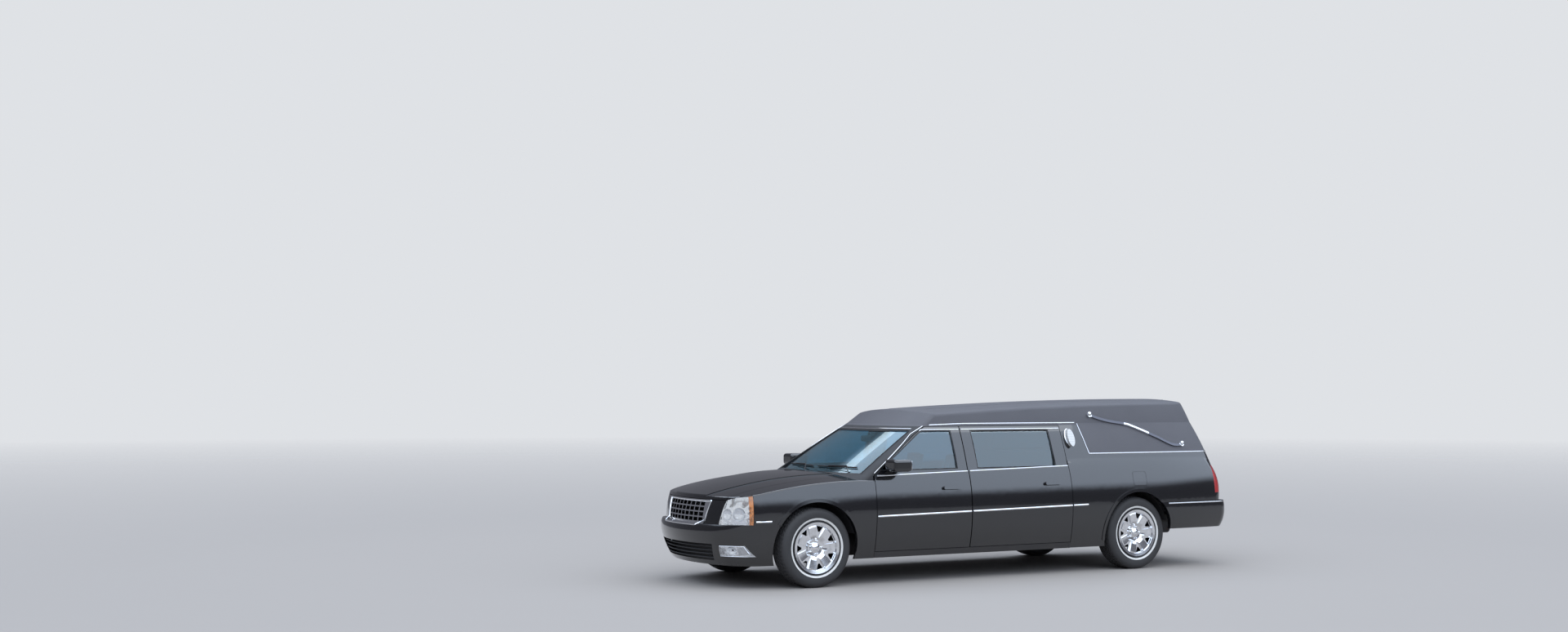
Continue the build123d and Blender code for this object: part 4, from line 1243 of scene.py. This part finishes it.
class HEARSE_OT_engine_bay(Operator):
    """Add covers, battery, boxes and brake parts round the plain engine, and the calipers"""
    bl_idname = "hearse.engine_bay"
    bl_label = "Engine bay"

    RIBS = (-0.15, -0.05, 0.05, 0.15)
    # y, z and radius
    PULLEYS = ((0, 0.440, 0.075), (-0.12, 0.640, 0.060), (0.14, 0.610, 0.052))
    # How far behind the axle and inboard of the rim's middle a caliper lies, and its heights
    CALIPER = ((0.160, 0.095), (0.082, 0.018), (0.357, 0.475))

    def calipers(self):
        (back, front), (inboard, outboard), (foot, top) = self.CALIPER
        for wheel in WHEELS:
            low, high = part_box(wheel + "_rim")
            x, y = (low.x + high.x) / 2, (low.y + high.y) / 2
            side, out = ("left", 1) if y > 0 else ("right", -1)
            inner, outer = sorted((y - out * inboard, y - out * outboard))
            caliper = rounded_block(wheel + "_caliper", (x - back, inner, foot),
                                    (x - front, outer, top), 0.012)
            fit(caliper, side + " knuckle" if "front" in wheel else "body", "engine_iron")

    def execute(self, context):
        set_blocks("body", "trim_black", [
            ("engine_cover", (1.680, -0.235, 0.829), (2.240, 0.235, 0.872), 0.018),
            ("battery", (2.385, -0.455, 0.610), (2.545, -0.270, 0.785), 0.006),
            ("battery_tray", (2.375, -0.462, 0.478), (2.555, -0.400, 0.612), 0.004),
            ("air_box", (2.385, 0.215, 0.600), (2.545, 0.455, 0.795), 0.020),
            ("air_box_leg", (2.420, 0.400, 0.478), (2.520, 0.460, 0.604), 0.004),
            ("fuse_box", (1.640, 0.345, 0.700), (1.860, 0.455, 0.800), 0.012),
        ])
        set_blocks("body", "trim_black", [
            ("coolant_tank", (1.420, -0.455, 0.660), (1.545, -0.300, 0.820), 0.022),
        ], "tank")
        set_blocks("body", "chrome", [
            (f"cover_rib_{k}", (1.740, y - 0.008, 0.868), (2.180, y + 0.008, 0.876), 0.003)
            for k, y in enumerate(self.RIBS)
        ])
        set_blocks("body", "engine_iron", [
            ("front_cover", (2.326, -0.250, 0.380), (2.362, 0.250, 0.800), 0.014),
        ])
        set_rods("body", "trim_black", [
            ("brake_booster", (1.384, 0.350, 0.770), (1.470, 0.350, 0.770), 0.100),
            ("coolant_cap", (1.482, -0.378, 0.815), (1.482, -0.378, 0.842), 0.026),
            ("oil_cap", (1.760, 0.100, 0.868), (1.760, 0.100, 0.892), 0.030),
        ])
        set_rods("body", "chassis_steel", [
            ("master_cylinder", (1.468, 0.350, 0.770), (1.548, 0.350, 0.770), 0.024),
            *[(f"pulley_{k}", (2.360, y, z), (2.392, y, z), radius)
              for k, (y, z, radius) in enumerate(self.PULLEYS)],
        ])
        set_rods("body", "chrome", [
            ("battery_post_a", (2.420, -0.305, 0.780), (2.420, -0.305, 0.800), 0.009),
            ("battery_post_b", (2.510, -0.305, 0.780), (2.510, -0.305, 0.800), 0.009),
        ])
        self.calipers()
        return {"FINISHED"}


class HEARSE_OT_studio(Operator):
    """Add the floor, the lights and the camera"""
    bl_idname = "hearse.studio"
    bl_label = "Studio"

    FLOOR_RADIUS, FLOOR_DROP = 160, 0.0005
    # Place of the left strip light, what both point at, and their size
    STRIP, STRIP_TARGET, STRIP_SIZE = (0, 5.5, 6.5), Vector((0, 0, 0.6)), (13, 0.6)
    SENSOR, CLIP_END = 36, 400

    def lamp(self, name, place, power):
        deselect()
        bpy.ops.object.light_add(type="AREA", location=place)
        lamp = bpy.context.active_object
        lamp.name = name
        lamp.data.shape = "RECTANGLE"
        lamp.data.size, lamp.data.size_y = self.STRIP_SIZE
        lamp.data.energy = power
        lamp.visible_camera = False
        lamp.rotation_mode = "QUATERNION"
        lamp.rotation_quaternion = (self.STRIP_TARGET - Vector(place)).to_track_quat("-Z", "Y")

    def backdrop(self, studio):
        """World that lights the car as a bright sky over a dark horizon, and looks pale itself."""
        s = Shader("studio", "worlds", "Generated")
        stops = ((0.0, studio.horizon), (0.36, studio.horizon), (0.48, studio.sky),
                 (0.75, studio.sky), (1.0, studio.zenith))
        light = s.node("ShaderNodeValToRGB", {"stops": stops}, s.y * studio.lean + s.z)
        camera = s.node("ShaderNodeLightPath", output="Is Camera Ray")
        glass = s.node("ShaderNodeLightPath", output="Is Transmission Ray")
        seen = s.mix(camera.math("MAXIMUM", camera, glass), light, studio.backdrop)
        background = s.node("ShaderNodeBackground", {}, seen)
        bpy.context.scene.world = s.close("ShaderNodeOutputWorld", background)

    def execute(self, context):
        c, _, studio = settings()
        deselect()
        bpy.ops.mesh.primitive_circle_add(vertices=96, radius=self.FLOOR_RADIUS, fill_type="NGON",
                                          location=(0, 0, -self.FLOOR_DROP))
        floor = made("studio_floor")
        floor.data.materials.append(studio_floor(c))
        x, y, z = self.STRIP
        self.lamp("left_strip", (x, y, z), studio.strip_light)
        self.lamp("right_strip", (x, -y, z), studio.strip_light)
        self.backdrop(studio)
        bpy.ops.object.camera_add(location=studio.camera)
        camera = context.active_object
        camera.data.lens, camera.data.sensor_width = studio.lens, self.SENSOR
        camera.data.clip_end = self.CLIP_END
        level = cos(studio.pitch)
        heading = Vector((studio.heading[0] * level, studio.heading[1] * level, sin(studio.pitch)))
        camera.rotation_mode = "QUATERNION"
        camera.rotation_quaternion = heading.to_track_quat("-Z", "Y")
        context.scene.camera = camera
        context.scene.view_settings.view_transform = "Standard"
        return {"FINISHED"}


class HEARSE_PT_panel(Panel):
    """Lists the settings and the steps"""
    bl_idname = "HEARSE_PT_panel"
    bl_label = "Hearse"
    bl_space_type = "VIEW_3D"
    bl_region_type = "UI"
    bl_category = "Hearse"

    def draw(self, context):
        for group in settings():
            box = self.layout.box()
            for key in group.__annotations__:
                box.prop(group, key)
        for step in STEPS:
            self.layout.operator(step.bl_idname)


STEPS = (HEARSE_OT_finish, HEARSE_OT_side_trim, HEARSE_OT_roof_trim, HEARSE_OT_front,
         HEARSE_OT_rear, HEARSE_OT_wheels, HEARSE_OT_seats, HEARSE_OT_cabin, HEARSE_OT_deck,
         HEARSE_OT_engine_bay, HEARSE_OT_studio)
GROUPS = (("hearse_colours", HearseColours), ("hearse_sizes", HearseSizes),
          ("hearse_studio", HearseStudio))


def register():
    for name, group in GROUPS:
        bpy.utils.register_class(group)
        setattr(bpy.types.Scene, name, PointerProperty(type=group))
    for item in (*STEPS, HEARSE_PT_panel):
        bpy.utils.register_class(item)


def unregister():
    for item in (HEARSE_PT_panel, *reversed(STEPS)):
        bpy.utils.unregister_class(item)
    for name, group in reversed(GROUPS):
        delattr(bpy.types.Scene, name)
        bpy.utils.unregister_class(group)


def main():
    register()
    for step in STEPS:
        area, _, word = step.bl_idname.partition(".")
        getattr(getattr(bpy.ops, area), word)()


if __name__ == "__main__":
    main()
